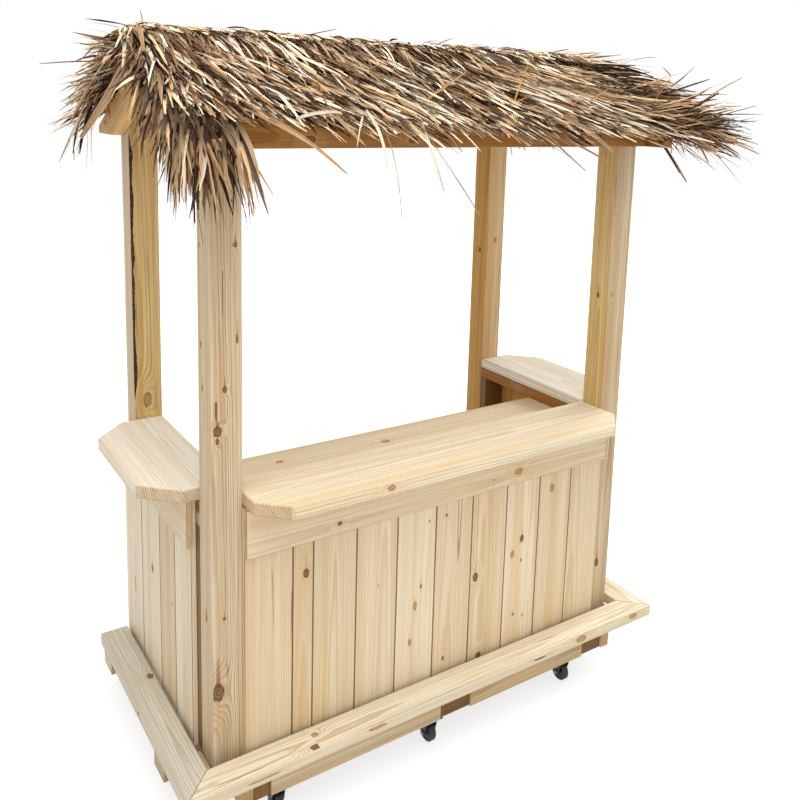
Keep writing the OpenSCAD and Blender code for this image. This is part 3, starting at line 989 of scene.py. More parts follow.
@dataclass
class Timber:
    """Dresses the solids of one pine node, or plain blocks, as sawn and planed timber.

    Points further out along X than the first lap value move out by the second one.
    """

    node: str
    finish: PineFinish
    slot: Slot
    seed: int
    easing: float = 0.003
    knots: tuple[Knot, ...] = ()
    knot_share: float = 0.22
    knot_size: Pair = (0.005, 0.012)
    tones: Pair = (0.0, 0.8)
    shade_and_shelter: tuple[Point, ...] = ()
    lap: Pair = NO_LAP
    boxes: tuple[Box, ...] = ()
    verts: list[Vector] = field(default_factory=list)
    faces: list[list[int]] = field(default_factory=list)
    log: list[Vector] = field(default_factory=list)
    knot: list[Point] = field(default_factory=list)
    cut: list[Point] = field(default_factory=list)
    tone_and_shade: list[Point] = field(default_factory=list)

    def build(self) -> Piece:
        """Builds the dressed piece and puts it in the node's place.

        Returns:
            The new piece.
        """
        draws = np.random.default_rng(self.seed)
        for solid in [block(*box) for box in self.boxes] or split_solids(self.node):
            self.dress(solid, draws)
            solid.free()
        mesh = new_mesh(f"{self.node}_timber", self.verts, self.faces, smooth=True)
        write_rows(mesh, "log", self.log)
        for name in ("knot", "cut", "tone_and_shade"):
            write_rows(mesh, name, getattr(self, name), "CORNER")
        piece = new_object(mesh, self.finish.material())
        even = piece.modifiers.new("even_faces", "WEIGHTED_NORMAL")
        even.weight = 90
        even.keep_sharp = False
        return keep_piece(piece, self.slot, *(() if self.boxes else (self.node,)))

    def dress(self, solid: Solid, draws: Draws) -> None:
        """Eases the edges of one solid, deals its knots and writes its grain.

        Args:
            solid: The solid.
            draws: Seeded random numbers.
        """
        stick = Stick(solid)
        eased = self.ease(solid)
        for vert in solid.verts:
            if abs(vert.co.x) > self.lap[0]:
                vert.co.x += math.copysign(self.lap[1], vert.co.x)
        middle = (stick.low + stick.high) / 2
        heart = self.place_heart(stick.high[1] - stick.low[1], stick.high[2] - stick.low[2], draws)
        shift = float(draws.uniform(0, 40))
        tone = float(draws.uniform(*self.tones))
        breaks, dealt = self.deal_knots(stick, draws)
        for at in breaks:
            bmesh.ops.bisect_plane(solid, geom=solid.verts[:] + solid.edges[:] + solid.faces[:],
                                   dist=1e-6, plane_co=stick.along * at, plane_no=stick.along)
        solid.normal_update()
        start = len(self.verts)
        solid.verts.index_update()
        for vert in solid.verts:
            place = stick.local(vert.co) - middle
            self.verts.append(vert.co.copy())
            self.log.append(Vector((place[0] + shift, place[1] - heart[0], place[2] - heart[1])))
        for face in solid.faces:
            self.faces.append([start + vert.index for vert in face.verts])
            end = abs(face.normal.dot(stick.along)) > 0.6
            side = stick.side_of(face.normal)
            run = side.run()
            centre = stick.local(face.calc_center_median())
            segment = sum(centre[0] > at for at in breaks)
            knot = None if end else dealt.get((segment, side))
            # Faces turned to the listed directions take the golden tint, partly painted shade.
            shaded_and_sheltered = float(any(face.normal.dot(Vector(way)) > 0.75 for way in self.shade_and_shelter))
            for vert in face.verts:
                place = stick.local(vert.co)
                self.cut.append((place[0] + shift + side.value * 7.3, place[run], float(end)))
                # Each corner keeps its board's tone, a flag for faces turned into the bar (partly
                # painted shade) and a flag for rounded faces (painted shade).
                self.tone_and_shade.append((tone, shaded_and_sheltered, float(face[eased])))
                self.knot.append(((place[0] - knot[0]) / knot[3], place[run] - knot[1], knot[2])
                                 if knot else NO_KNOT)

    def ease(self, solid: Solid) -> bmesh.types.BMLayerItem:
        """Rounds the sharp edges of a solid.

        Args:
            solid: The solid.

        Returns:
            The face layer that marks the rounded faces with 1.
        """
        mark = solid.faces.layers.int.new("eased")
        sharp = [edge for edge in solid.edges
                 if edge.is_manifold and edge.calc_face_angle(0.0) > math.radians(35)]
        made = bmesh.ops.bevel(solid, geom=sharp, offset=self.easing, segments=2, profile=0.5,
                               affect="EDGES", clamp_overlap=True)
        for face in made["faces"]:
            face[mark] = 1
        return mark

    def place_heart(self, width: float, depth: float, draws: Draws) -> Pair:
        """Places the heart of the log: near the middle of a post, outside a plank.

        Args:
            width: The stick's size across its face.
            depth: The stick's thickness.
            draws: Seeded random numbers.

        Returns:
            The heart's place across and through, from the stick's middle.
        """
        sign = 1 if draws.random() < 0.5 else -1
        if width < depth * 1.4:
            turn = draws.uniform(0, 2 * math.pi)
            off = draws.uniform(0.012, 0.06)
            return (off * math.cos(turn), off * math.sin(turn))
        return (float(draws.uniform(-0.35, 0.35)) * width,
                sign * (depth / 2 + float(draws.uniform(0.012, 0.07))))

    def deal_knots(self, stick: Stick, draws: Draws) -> tuple[list[float], dict[tuple[int, Side], Rgba]]:
        """Cuts the stick's length into segments and deals a knot to some of its faces.

        Args:
            stick: The stick.
            draws: Seeded random numbers.

        Returns:
            The places of the cuts, and the knot for each segment and side.
        """
        placed = [(stick.local(Vector(knot.at)), knot) for knot in self.knots]
        placed = [item for item in placed if stick.holds(item[0])]
        dealt: dict[tuple[int, Side], Rgba] = {}
        taken = {stick.side_at(place) for place, _ in placed}
        breaks = []
        if placed:
            places = sorted(place[0] for place, _ in placed)
            breaks = [(a + b) / 2 for a, b in zip(places, places[1:]) if b - a > 0.012]
        else:
            at = stick.low[0] + float(draws.uniform(0.14, 0.3))
            while at < stick.high[0] - 0.12:
                breaks.append(at)
                at += float(draws.uniform(0.16, 0.3))
        for place, knot in placed:
            side = stick.side_at(place)
            segment = sum(place[0] > at for at in breaks)
            dealt[(segment, side)] = (place[0], place[side.run()], knot.radius, knot.stretch)
        ends = [stick.low[0]] + breaks + [stick.high[0]]
        for segment, (first, last) in enumerate(zip(ends, ends[1:])):
            for side in Side:
                chance, along, across, size, kind = draws.random(5)
                if side in taken or chance > self.knot_share:
                    continue
                low, high = stick.low[side.run()], stick.high[side.run()]
                half = (high - low) / 2
                radius = self.knot_size[0] + size ** 2 * (self.knot_size[1] - self.knot_size[0])
                radius = min(radius, half * 0.5)
                room = max(half - radius * 1.6, 0.0)
                dealt[(segment, side)] = (first + (0.3 + 0.4 * along) * (last - first),
                                          (high + low) / 2 + (2 * across - 1) * room,
                                          -radius * 0.6 if kind < 0.3 else radius, 1.4)
        return breaks, dealt


class Group:
    """A sub-assembly that is made of timber."""

    def timbers(self) -> list[Timber]:
        """Lists its timber in order."""
        raise NotImplementedError

    def build(self) -> list[Piece]:
        """Builds all of its pieces."""
        return [timber.build() for timber in self.timbers()]


@dataclass
class Posts(Group):
    """The four corner posts, with the knots that show on them and a strip of bark."""

    easing: float = 0.003
    front_left: tuple[Knot, ...] = (
        *knots_on(1, -0.381, (-0.743, 1.155, -0.011, 1.3), (-0.743, 1.128, -0.005, 1.6),
                  (-0.746, 1.214, -0.0032, 9.0), (-0.722, 1.266, -0.006, 1.5),
                  (-0.688, 1.392, -0.003, 6.0), (-0.7265, 1.52, -0.0012, 60.0),
                  (-0.692, 1.645, -0.006, 1.2), (-0.727, 0.621, -0.004, 1.2),
                  (-0.746, 0.406, -0.016, 1.6)),
        *knots_on(0, -0.762, (-0.316, 1.379, -0.004, 3.0), (-0.326, 1.259, -0.004, 2.0),
                  (-0.313, 1.639, 0.005), (-0.339, 0.612, -0.004, 3.0)))
    front_right: tuple[Knot, ...] = (
        *knots_on(0, 0.673, (-0.334, 1.368, -0.006, 1.5), (-0.345, 0.62, -0.009, 1.5)),
        *knots_on(1, -0.381, (0.692, 1.376, 0.005), (0.705, 0.374, -0.009, 1.7)))
    rear_left: tuple[Knot, ...] = knots_on(1, 0.292, (-0.721, 1.03, 0.013, 1.8))
    rear_right: tuple[Knot, ...] = (*knots_on(1, 0.292, (0.718, 1.468, 0.007)),
                                    *knots_on(0, 0.673, (0.331, 1.424, -0.007, 1.4)))

    def timbers(self) -> list[Timber]:
        """Lists the posts.

        Returns:
            The timber of each post.
        """
        # The directions name the faces that take the golden tint, partly painted shade.
        rows = (("front_left", self.front_left, ((1.0, 0.0, 0.0), (0.0, 1.0, 0.0)), POST_PINE),
                ("front_right", self.front_right, ((-1.0, 0.0, 0.0), (0.0, 1.0, 0.0)), POST_PINE),
                ("rear_left", self.rear_left, ((1.0, 0.0, 0.0), (0.0, -1.0, 0.0)), POST_PINE),
                ("rear_right", self.rear_right, ((-1.0, 0.0, 0.0),), REAR_PINE))
        return [Timber(f"{word}_post", finish, Slot.PINE, 11 + index, self.easing, knots,
                       knot_share=0.16, shade_and_shelter=shade_and_shelter)
                for index, (word, knots, shade_and_shelter, finish) in enumerate(rows)]

    def build(self) -> list[Piece]:
        """Builds the posts and the bark."""
        return super().build() + [BarkStrip(corner=(-0.762, 0.292), low=1.04, high=1.89).build()]


@dataclass
class BarkStrip:
    """A strip of bark left along the edge of a post."""

    corner: Pair
    low: float
    high: float
    steps: int = 110
    rows: int = 6
    wide: Pair = (0.004, 0.012)
    lift: float = 0.0012
    seed: int = 71

    def build(self) -> Piece:
        """Builds the strip.

        Returns:
            The piece.
        """
        draws = np.random.default_rng(self.seed)
        z = np.linspace(self.low, self.high, self.steps)
        slow = np.interp(np.arange(self.steps), np.arange(0, self.steps, 6),
                         draws.uniform(*self.wide, len(range(0, self.steps, 6))))
        fade = np.clip(np.minimum(z - self.low, self.high - z) / 0.05, 0.05, 1.0)
        wide = slow * fade + draws.uniform(0.0, 0.0018, self.steps)
        share = np.linspace(-1.0, 1.0, self.rows)
        front = np.clip(share, 0.0, 1.0)[None, :] * wide[:, None]
        side = np.clip(-share, 0.0, 1.0)[None, :] * wide[:, None] * 0.45
        bulge = self.lift * (0.3 + draws.random((self.steps, self.rows)))
        bulge[:, [0, -1]] = -0.0004
        x = self.corner[0] + front - np.where(share < 0, bulge, bulge * 0.3)
        y = self.corner[1] + side - np.where(share >= 0, bulge, bulge * 0.3)
        verts = columns(x, y, z[:, None]).reshape(-1, 3)
        number = np.arange(self.steps * self.rows).reshape(self.steps, self.rows)
        faces = np.stack([number[:-1, :-1], number[:-1, 1:], number[1:, 1:], number[1:, :-1]], axis=-1)
        mesh = new_mesh("rear_left_bark", verts.tolist(), faces.reshape(-1, 4).tolist())
        return keep_piece(new_object(mesh, BARK.material()), Slot.PINE)


@dataclass
class Counters(Group):
    """The three counters, the shelf and ledgers behind them, and the aprons under them."""

    counter_easing: float = 0.006
    shelf_easing: float = 0.003
    ledger_easing: float = 0.0025
    board_easing: float = 0.0012
    shelf_knots: tuple[Knot, ...] = knots_on(2, 0.894, (-0.426, -0.086, 0.009), (-0.048, -0.11, 0.01))
    apron_knots: tuple[Knot, ...] = knots_on(
        1, -0.413, (0.276, 0.834, 0.011, 1.3), (-0.392, 0.824, -0.006, 1.2),
        (0.171, 0.827, -0.003, 1.0))
    ledger_knots: tuple[Knot, ...] = knots_on(0, 0.673, (0.063, 0.92, 0.008))

    def timbers(self) -> list[Timber]:
        """Lists counters, shelf, ledgers and aprons.

        Returns:
            Their timber.
        """
        made = [Timber(f"{word}_counter", finish, Slot.PINE, seed, self.counter_easing,
                       knot_share=0.03, tones=(0.0, 0.3))
                for word, finish, seed in (("front", COUNTER_PINE, 21), ("left", SIDE_COUNTER, 22),
                                           ("right", SIDE_COUNTER, 23))]
        made.append(Timber("inner_shelf", COUNTER_PINE, Slot.PINE_FRAME, 24, self.shelf_easing,
                           self.shelf_knots, tones=(0.2, 0.5)))
        made += [Timber(f"{word}_ledger", ROOF_PINE, Slot.PINE_FRAME, seed, self.ledger_easing, knots)
                 for word, seed, knots in (("front", 25, ()), ("left", 26, ()),
                                           ("right", 27, self.ledger_knots))]
        rows = (("front", PALE_PINE, 28, self.apron_knots, FRONT_LAP),
                ("left", SIDE_PINE, 29, (), NO_LAP), ("right", SIDE_PINE, 30, (), NO_LAP))
        return made + [Timber(f"{word}_apron", finish, Slot.PINE, seed, self.board_easing, knots,
                              knot_share=0.08, tones=(0.5, 1.0), lap=lap)
                       for word, finish, seed, knots, lap in rows]


@dataclass
class Walls(Group):
    """The boarded walls on three sides and the studs inside them."""

    easing: float = 0.0014
    stud_easing: float = 0.0025
    front_knots: tuple[Knot, ...] = knots_on(
        1, -0.397, (-0.489, 0.692, -0.009, 1.5), (0.319, 0.58, -0.008, 1.5),
        (0.28, 0.533, 0.007, 1.7), (0.319, 0.501, -0.0035, 1.2), (0.126, 0.496, -0.01, 1.5),
        (0.445, 0.731, 0.009, 1.5), (0.0, 0.743, -0.004, 1.2), (0.296, 0.309, -0.004, 1.2),
        (0.339, 0.294, 0.004), (0.005, 0.25, -0.0045, 1.5), (0.152, 0.209, -0.01, 1.0),
        (-0.126, 0.352, 0.006, 1.8), (-0.09, 0.53, -0.0035, 2.0), (-0.11, 0.47, 0.006, 2.4),
        (-0.246, 0.58, -0.002, 1.2), (-0.065, 0.741, 0.003))
    left_knots: tuple[Knot, ...] = knots_on(
        0, -0.778, (0.089, 0.551, -0.009, 1.4), (0.281, 0.40, 0.005, 6.0),
        (-0.097, 0.529, -0.004, 1.2))

    def timbers(self) -> list[Timber]:
        """Lists the walls and studs.

        Returns:
            Their timber.
        """
        return [Timber("front_wall", PALE_PINE, Slot.PINE, 41, self.easing, self.front_knots,
                       knot_share=0.05, lap=FRONT_LAP),
                Timber("left_wall", SIDE_PINE, Slot.PINE, 42, self.easing, self.left_knots,
                       knot_share=0.06, shade_and_shelter=((1.0, 0.0, 0.0),)),
                Timber("right_wall", SIDE_PINE, Slot.PINE, 43, self.easing,
                       knot_share=0.06, shade_and_shelter=((-1.0, 0.0, 0.0),)),
                Timber("wall_studs", DARK_PINE, Slot.PINE_FRAME, 44, self.stud_easing)]


@dataclass
class Base(Group):
    """The flat rail, the skirt under it and the frame that stands on the casters."""

    easing: float = 0.0028
    slot_depth: float = 0.007
    nose_room: float = 0.017
    corner_room: float = 0.0015
    corner_lift: float = 0.02
    left_knots: tuple[Knot, ...] = knots_on(2, 0.212, (-0.804, 0.049, -0.009, 1.4))
    front_knots: tuple[Knot, ...] = (
        *knots_on(2, 0.212, (-0.482, -0.444, 0.008), (-0.501, -0.489, -0.01, 1.5)),
        *knots_on(1, -0.498, (0.528, 0.196, 0.010, 2.2), (0.787, 0.198, 0.009, 2.0),
                  (0.337, 0.191, -0.0035, 7.0), (-0.3, 0.198, 0.005, 6.0),
                  (-0.66, 0.192, 0.003, 16.0)))

    def timbers(self) -> list[Timber]:
        """Lists rails, blocks, skirt, base frame and packing.

        Returns:
            Their timber.
        """
        made = [Timber(f"{word}_rail", finish, Slot.PINE, seed, self.easing, knots,
                       knot_share=0.08, tones=(0.0, 0.4))
                for word, finish, seed, knots in (("front", RAIL_PINE, 51, self.front_knots),
                                                  ("left", SIDE_RAIL, 52, self.left_knots),
                                                  ("right", RAIL_PINE, 53, ()))]
        made += [Timber(node, finish, slot, seed, self.easing)
                 for node, finish, slot, seed in (
                     ("skirt_boards", POST_PINE, Slot.PINE, 54),
                     ("rail_outriggers", POST_PINE, Slot.PINE_FRAME, 55),
                     ("front_rim", DARK_PINE, Slot.PINE_FRAME, 56),
                     ("rear_rim", POST_PINE, Slot.PINE_FRAME, 57),
                     ("base_side_boards", POST_PINE, Slot.PINE_FRAME, 58))]
        return made + [Timber(name, finish, Slot.PINE_FRAME, seed, self.easing, knot_share=0.0,
                              boxes=boxes)
                       for name, finish, seed, boxes in (
                           ("slot_packing", DARK_PINE, 59, self.slot_boxes()),
                           ("outrigger_noses", POST_PINE, 60, self.nose_boxes()),
                           ("corner_packing", POST_PINE, 68, self.corner_boxes()))]

    def corner_boxes(self) -> tuple[Box, ...]:
        """Gives the blocks that close the front corners under the rail.

        Returns:
            The low and high corner of each block.
        """
        room = self.corner_room
        side_low, side_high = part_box("base_side_boards")
        rail_low, rail_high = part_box("front_rail")
        post_low, post_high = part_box("front_right_post")
        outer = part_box("right_rail")[0][0] - room
        front = post_low[1] - 2 * room
        blocks = ((side_high[0] + room, rail_high[1] + room, front),
                  (post_high[0] + room, front + room, post_high[1] + 4 * room))
        return tuple(((min(sign * near, sign * outer), start, side_low[2] + self.corner_lift),
                      (max(sign * near, sign * outer), back, rail_low[2] - room))
                     for sign in (-1, 1) for near, start, back in blocks)

    def slot_boxes(self) -> tuple[Box, ...]:
        """Gives the dark packing blocks that close the slots of the skirt a little way in; their dark
        finish is painted shade.

        Returns:
            The low and high corner of each block.
        """
        spans = sorted((low[0], high[0]) for low, high in solid_boxes("skirt_boards"))
        rim_low, rim_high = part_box("front_rim")
        skirt_low, skirt_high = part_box("skirt_boards")
        stops = [rim_low[0]] + [x for span in spans for x in span] + [rim_high[0]]
        return tuple(((first, skirt_low[1] + self.slot_depth, skirt_low[2]),
                      (last, skirt_high[1], skirt_high[2]))
                     for first, last in zip(stops[::2], stops[1::2]))

    def nose_boxes(self) -> tuple[Box, ...]:
        """Gives the ends of the blocks that reach out under the side rails.

        Returns:
            The low and high corner of each end.
        """
        made = []
        for low, high in solid_boxes("rail_outriggers"):
            if high[0] < 0:
                high[0] = low[0]
                low[0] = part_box("left_rail")[0][0] + self.nose_room
            else:
                low[0] = high[0]
                high[0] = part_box("right_rail")[1][0] - self.nose_room
            made.append((tuple(low), tuple(high)))
        return tuple(made)


def solid_boxes(node: str) -> list[tuple[list[float], list[float]]]:
    """Measures the separate solids of a node.

    Args:
        node: The node's name.

    Returns:
        The low and high corner of each solid.
    """
    boxes = []
    for solid in split_solids(node):
        spread = [vert.co for vert in solid.verts]
        boxes.append(([min(p[i] for p in spread) for i in range(3)],
                      [max(p[i] for p in spread) for i in range(3)]))
        solid.free()
    return boxes


@dataclass
class RoofFrame(Group):
    """Beams, rafters, ridge board and battens under the leaves."""

    easing: float = 0.0028
    batten_easing: float = 0.0015
    beam_knots: tuple[Knot, ...] = knots_on(
        1, -0.419, (-0.502, 1.91, -0.01, 1.5), (-0.183, 1.91, -0.009, 1.5),
        (0.28, 1.915, -0.008, 1.5))

    def timbers(self) -> list[Timber]:
        """Lists the roof frame.

        Returns:
            Its timber.
        """
        rows = (("front_beam", ROOF_PINE, self.beam_knots), ("rear_beam", ROOF_PINE, ()),
                ("left_rafters", GOLD_PINE, ()), ("right_rafters", ROOF_PINE, ()),
                ("middle_rafters", ROOF_PINE, ()), ("ridge_board", ROOF_PINE, ()))
        made = [Timber(node, finish, Slot.PINE_FRAME, 61 + index, self.easing, knots)
                for index, (node, finish, knots) in enumerate(rows)]
        return made + [Timber("roof_battens", ROOF_PINE, Slot.PINE, 67, self.batten_easing)]


UP = np.array([0.0, 0.0, 1.0])


def unit(rows: Array) -> Array:
    """Brings each row to length 1."""
    return rows / np.maximum(np.linalg.norm(rows, axis=-1, keepdims=True), 1e-9)


def columns(*parts: object) -> Array:
    """Puts numbers or arrays side by side, as the last axis of one array."""
    return np.stack(np.broadcast_arrays(*parts), axis=-1)


@dataclass
class Blades:
    """Leaf blades as arrays, one row for each blade."""

    root: Array
    aim: Array
    up: Array
    length: Array
    width: Array
    droop: Array
    tint: Array
    seed: Array

    def __post_init__(self) -> None:
        """Gives every blade its own row where one value serves them all."""
        count = len(self.length)
        self.up = np.broadcast_to(self.up, (count, 3))
        self.droop = np.broadcast_to(self.droop, (count,))


def joined(*beds: Blades) -> Blades:
    """Puts beds of blades together."""
    return Blades(*(np.concatenate([getattr(bed, part.name) for bed in beds])
                    for part in fields(Blades)))


def reach_box() -> tuple[Array, Array]:
    """Gives the box that leaf tips stay in, a little larger than the solids' box.

    Returns:
        Its low and high corner.
    """
    low, high = (np.array(corner, dtype=float) for corner in CAD_BOX)
    spare = (high - low) * 0.022 + 0.006
    return low - spare, high + spare


@dataclass
class LeafBed:
    """Turns a bed of blades into one mesh of folded, drooping ribbons."""

    name: str
    blades: Blades
    seed: int
    steps: int = 4
    fold: float = 0.32
    start: float = 0.0
    sway: float = 0.03
    tip: Pair = (0.06, 0.6)
    reach: tuple[Array, Array] = field(default_factory=reach_box)

    def mesh(self) -> Mesh:
        """Builds the ribbons with their tint, place and seed attributes.

        Returns:
            The mesh.
        """
        draws = np.random.default_rng(self.seed)
        bed = self.blades
        count = len(bed.length)
        step = np.linspace(0.0, 1.0, self.steps + 1)
        middle = self.middle_line(bed.length * self.fit_share(), step, draws)
        tangent = unit(np.gradient(middle, axis=1))
        side = unit(np.cross(tangent, bed.up[:, None, :]))
        top = np.cross(side, tangent)
        roll = (draws.normal(0.0, 0.45, count)[:, None]
                + draws.normal(0.0, 0.7, count)[:, None] * step[None, :])[..., None]
        turned = side * np.cos(roll) + top * np.sin(roll)
        lifted = np.cross(turned, tangent)
        tip = draws.uniform(*self.tip, count)[:, None]
        shape = np.minimum(1.0, 0.7 + 1.6 * step)[None, :] * (1 - (1 - tip) * step[None, :] ** 4)
        half = (bed.width[:, None] * 0.5 * shape)[..., None]
        left = middle + turned * half + lifted * half * self.fold
        right = middle - turned * half + lifted * half * self.fold
        verts = np.stack([left, middle, right], axis=2).reshape(-1, 3)
        mesh = new_mesh(self.name, verts.tolist(), self.quads(count).tolist(), smooth=True)
        size = (count, self.steps + 1, 3)
        shown = self.start + (1 - self.start) * step
        leaf = columns(np.broadcast_to(bed.tint[:, None, None], size), shown[None, :, None],
                       np.array([-1.0, 0.0, 1.0]))
        write_rows(mesh, "leaf", leaf.reshape(-1, 3))
        write_rows(mesh, "leaf_seed", np.broadcast_to(bed.seed[:, None, None], size).ravel())
        return mesh

    def fit_share(self) -> Array:
        """Gives the share of its length that keeps each blade's tip inside the reach.

        Returns:
            A share for each blade.
        """
        bed = self.blades
        run = (bed.aim - UP * bed.droop[:, None]) * bed.length[:, None]
        low, high = self.reach
        room = np.where(run > 0, high - bed.root, low - bed.root)
        share = np.where(np.abs(run) > 1e-6, room / np.where(np.abs(run) > 1e-6, run, 1.0), 9.0)
        return np.clip(share.min(axis=1), 0.15, 1.0)

    def middle_line(self, length: Array, step: Array, draws: Draws) -> Array:
        """Draws the middle line of each blade.

        Args:
            length: Length of each blade.
            step: Shares along a blade.
            draws: Seeded random numbers.

        Returns:
            Points of each line.
        """
        bed = self.blades
        sway = draws.normal(0.0, self.sway, (len(length), 3))
        straight = bed.aim[:, None, :] * step[None, :, None]
        hang = -UP * (bed.droop[:, None] * step[None, :] ** 2)[..., None]
        bow = sway[:, None, :] * np.sin(math.pi * step)[None, :, None]
        return bed.root[:, None, :] + (straight + hang + bow) * length[:, None, None]

    def quads(self, count: int) -> Array:
        """Numbers the corners of every quad.

        Args:
            count: How many blades there are.

        Returns:
            The four corners of each quad.
        """
        rows = 3 * np.arange(self.steps)[:, None]
        one = np.concatenate([rows + np.array([0, 1, 4, 3]), rows + np.array([1, 2, 5, 4])])
        return (np.arange(count)[:, None, None] * 3 * (self.steps + 1) + one[None]).reshape(-1, 4)


@dataclass(frozen=True)
class Strip:
    """A strip of the roof's edge with blades that hang from it.

    The lean is the direction that they start in, at the ridge and at the eave. Grow is the
    share of the length that is missing at the ridge, and dark the weight of the dark tints;
    a heavy weight paints shade on the blades at the gables.
    """

    count: int
    seed: int
    x: Pair
    y: Pair
    lean: Box
    length: Pair
    droop: Pair
    grow: float = 0.0
    dark: float = 2.2
    width: Pair = (0.004, 0.0115)


@dataclass
class Thatch:
    """The leaf roof: two courses on each slope, the ridge, and the fringes at the gables."""

    left: float = -0.854
    right: float = 0.932
    eave: float = 0.522
    ridge: float = 2.1462
    pitch: float = math.radians(25)
    under: float = 0.0177
    per_row: int = 500
    mat_grid: tuple[int, int] = (120, 26)
    # Most of these strips take a heavy weight of dark tints: painted shade at the left gable.
    left_strips: tuple[Strip, ...] = (
        Strip(700, 303, (-0.875, -0.80), (-0.5, -0.03), ((-0.3, -0.5, -0.3), (-0.15, -0.4, -0.75)),
              (0.13, 0.23), (0.05, 0.25), grow=0.55),
        Strip(104, 312, (-0.86, -0.79), (0.0, 0.5), ((-0.9, 0.1, -0.02), (-0.5, 0.2, -0.45)),
              (0.07, 0.15), (0.0, 0.15), dark=0.8, width=(0.005, 0.013)),
        Strip(30, 313, (-0.87, -0.82), (0.1, 0.48), ((-0.4, 0.1, -0.7), (-0.3, 0.1, -0.9)),
              (0.1, 0.19), (0.0, 0.2), dark=1.4),
        Strip(130, 304, (-0.87, -0.72), (-0.5, -0.38), ((0.1, -0.3, -0.8), (0.1, -0.3, -0.8)),
              (0.12, 0.26), (0.1, 0.3)))
    right_strip: Strip = Strip(150, 306, (0.86, 0.93), (-0.5, 0.52),
                               ((0.8, 0.0, -0.2), (0.6, 0.0, -0.4)), (0.1, 0.2), (0.1, 0.3))
    sticks: tuple[Box, ...] = (
        ((-0.159, -0.413, 2.006), (0.109, -0.271, 2.113)),
        ((-0.110, -0.411, 2.007), (0.108, -0.387, 2.059)),
        ((-0.208, -0.212, 2.100), (-0.176, -0.247, 2.124)),
        ((-0.388, -0.204, 2.104), (-0.501, -0.530, 1.978)),
        ((-0.374, -0.184, 2.113), (-0.333, -0.227, 2.133)),
        ((0.200, -0.390, 2.017), (0.420, -0.200, 2.150)),
        ((0.414, -0.419, 2.004), (0.634, -0.279, 2.109)),
        ((0.506, -0.383, 2.020), (0.657, -0.342, 2.079)),
        ((0.620, -0.050, 2.190), (0.740, -0.050, 2.220)),
        ((0.720, -0.100, 2.175), (0.900, -0.050, 2.215)),
        ((0.798, -0.397, 2.014), (1.008, -0.300, 2.130)),
        ((1.008, -0.300, 2.130), (0.957, -0.300, 2.163)),
        ((0.950, -0.350, 2.090), (1.130, -0.300, 2.170)),
        ((0.930, -0.484, 2.030), (1.200, -0.456, 2.132)),
        ((-0.720, -0.500, 2.000), (-0.690, -0.530, 1.990)),
        ((-0.735, -0.480, 2.000), (-0.665, -0.520, 2.022)),
        ((-0.845, 0.100, 2.102), (-1.050, 0.100, 2.087)),
        ((-0.768, 0.090, 2.180), (-0.777, 0.100, 2.252)))
    strays: tuple[tuple[Point, Point, float, float, float, float], ...] = (
        ((-0.660, -0.515, 1.968), (-0.481, -0.575, 1.835), 0.009, 0.55, 0.15, 0.1),
        ((-0.700, -0.500, 1.980), (-0.515, -0.575, 1.862), 0.010, 0.50, 0.15, 0.9),
        ((-0.385, -0.500, 1.990), (-0.362, -0.575, 1.840), 0.008, 0.92, 0.25, 0.1),
        ((-0.345, -0.500, 1.960), (-0.316, -0.575, 1.713), 0.006, 0.45, 0.30, 0.2),
        ((-0.215, -0.500, 1.965), (-0.181, -0.575, 1.773), 0.007, 0.90, 0.25, 0.3),
        ((-0.235, -0.500, 1.975), (-0.057, -0.575, 1.706), 0.008, 0.60, 0.20, 0.9),
        ((-0.400, -0.510, 1.975), (-0.454, -0.575, 1.900), 0.006, 0.95, 0.50, 0.1),
        ((-0.480, -0.510, 1.975), (-0.419, -0.560, 1.901), 0.009, 0.60, 0.10, 0.9),
        ((0.190, -0.500, 1.965), (0.329, -0.575, 1.827), 0.011, 0.35, 0.10, 0.9),
        ((0.240, -0.500, 1.935), (0.427, -0.575, 1.849), 0.007, 0.40, 0.00, 0.3),
        ((0.300, -0.500, 1.985), (0.441, -0.575, 1.882), 0.012, 0.45, 0.05, 0.9),
        ((-0.600, -0.535, 1.965), (-0.489, -0.555, 1.983), 0.008, 0.96, 0.25, 0.1),
        ((-0.832, -0.020, 2.140), (-0.968, 0.020, 1.895), 0.021, 0.55, 0.10, 0.85))

    def height(self, y: Array, lift: object = 0.0) -> Array:
        """Gives the height of the leaves' underside, or a lift above it, at a Y place."""
        return self.ridge + self.under - np.abs(y) * math.tan(self.pitch) + lift

    def out(self, sign: object) -> Array:
        """Gives the direction straight out of the slope with a sign."""
        return columns(0.0, sign * math.sin(self.pitch), math.cos(self.pitch))

    def downward(self, yaw: Array, sign: object) -> Array:
        """Gives directions down the slope with a sign, turned towards +X by a yaw."""
        return columns(np.sin(yaw), np.cos(yaw) * (sign * math.cos(self.pitch)),
                       np.cos(yaw) * -math.sin(self.pitch))

    def fan(self, x: Array) -> Array:
        """Gives the lean of the blades, which fans out towards the right gable.

        Args:
            x: Place of each blade along the roof.

        Returns:
            The lean towards +X, in radians.
        """
        share = np.clip((x - 0.1) / 0.8, 0.0, 1.0)
        left = np.clip((-0.70 - x) / 0.16, 0.0, 1.0)
        return np.radians(14 + 56 * share ** 1.2 - 26 * left)

    def edge(self, x: Array) -> Array:
        """Gives the distance from the ridge to the ragged eave, which drops to the right."""
        return np.interp(x, (-0.86, -0.62, -0.46, -0.31, 0.0, 0.25, 0.46, 0.65, 0.9),
                         (0.42, 0.45, 0.48, 0.50, 0.51, 0.53, 0.51, 0.54, 0.6))

    def tints(self, draws: Draws, count: int, dark: float = 0.98) -> Array:
        """Deals a tint to each blade, from dark to pale, with a weight of the dark end."""
        return np.clip(draws.beta(0.55, 0.55 * dark, count), 0.01, 0.99)

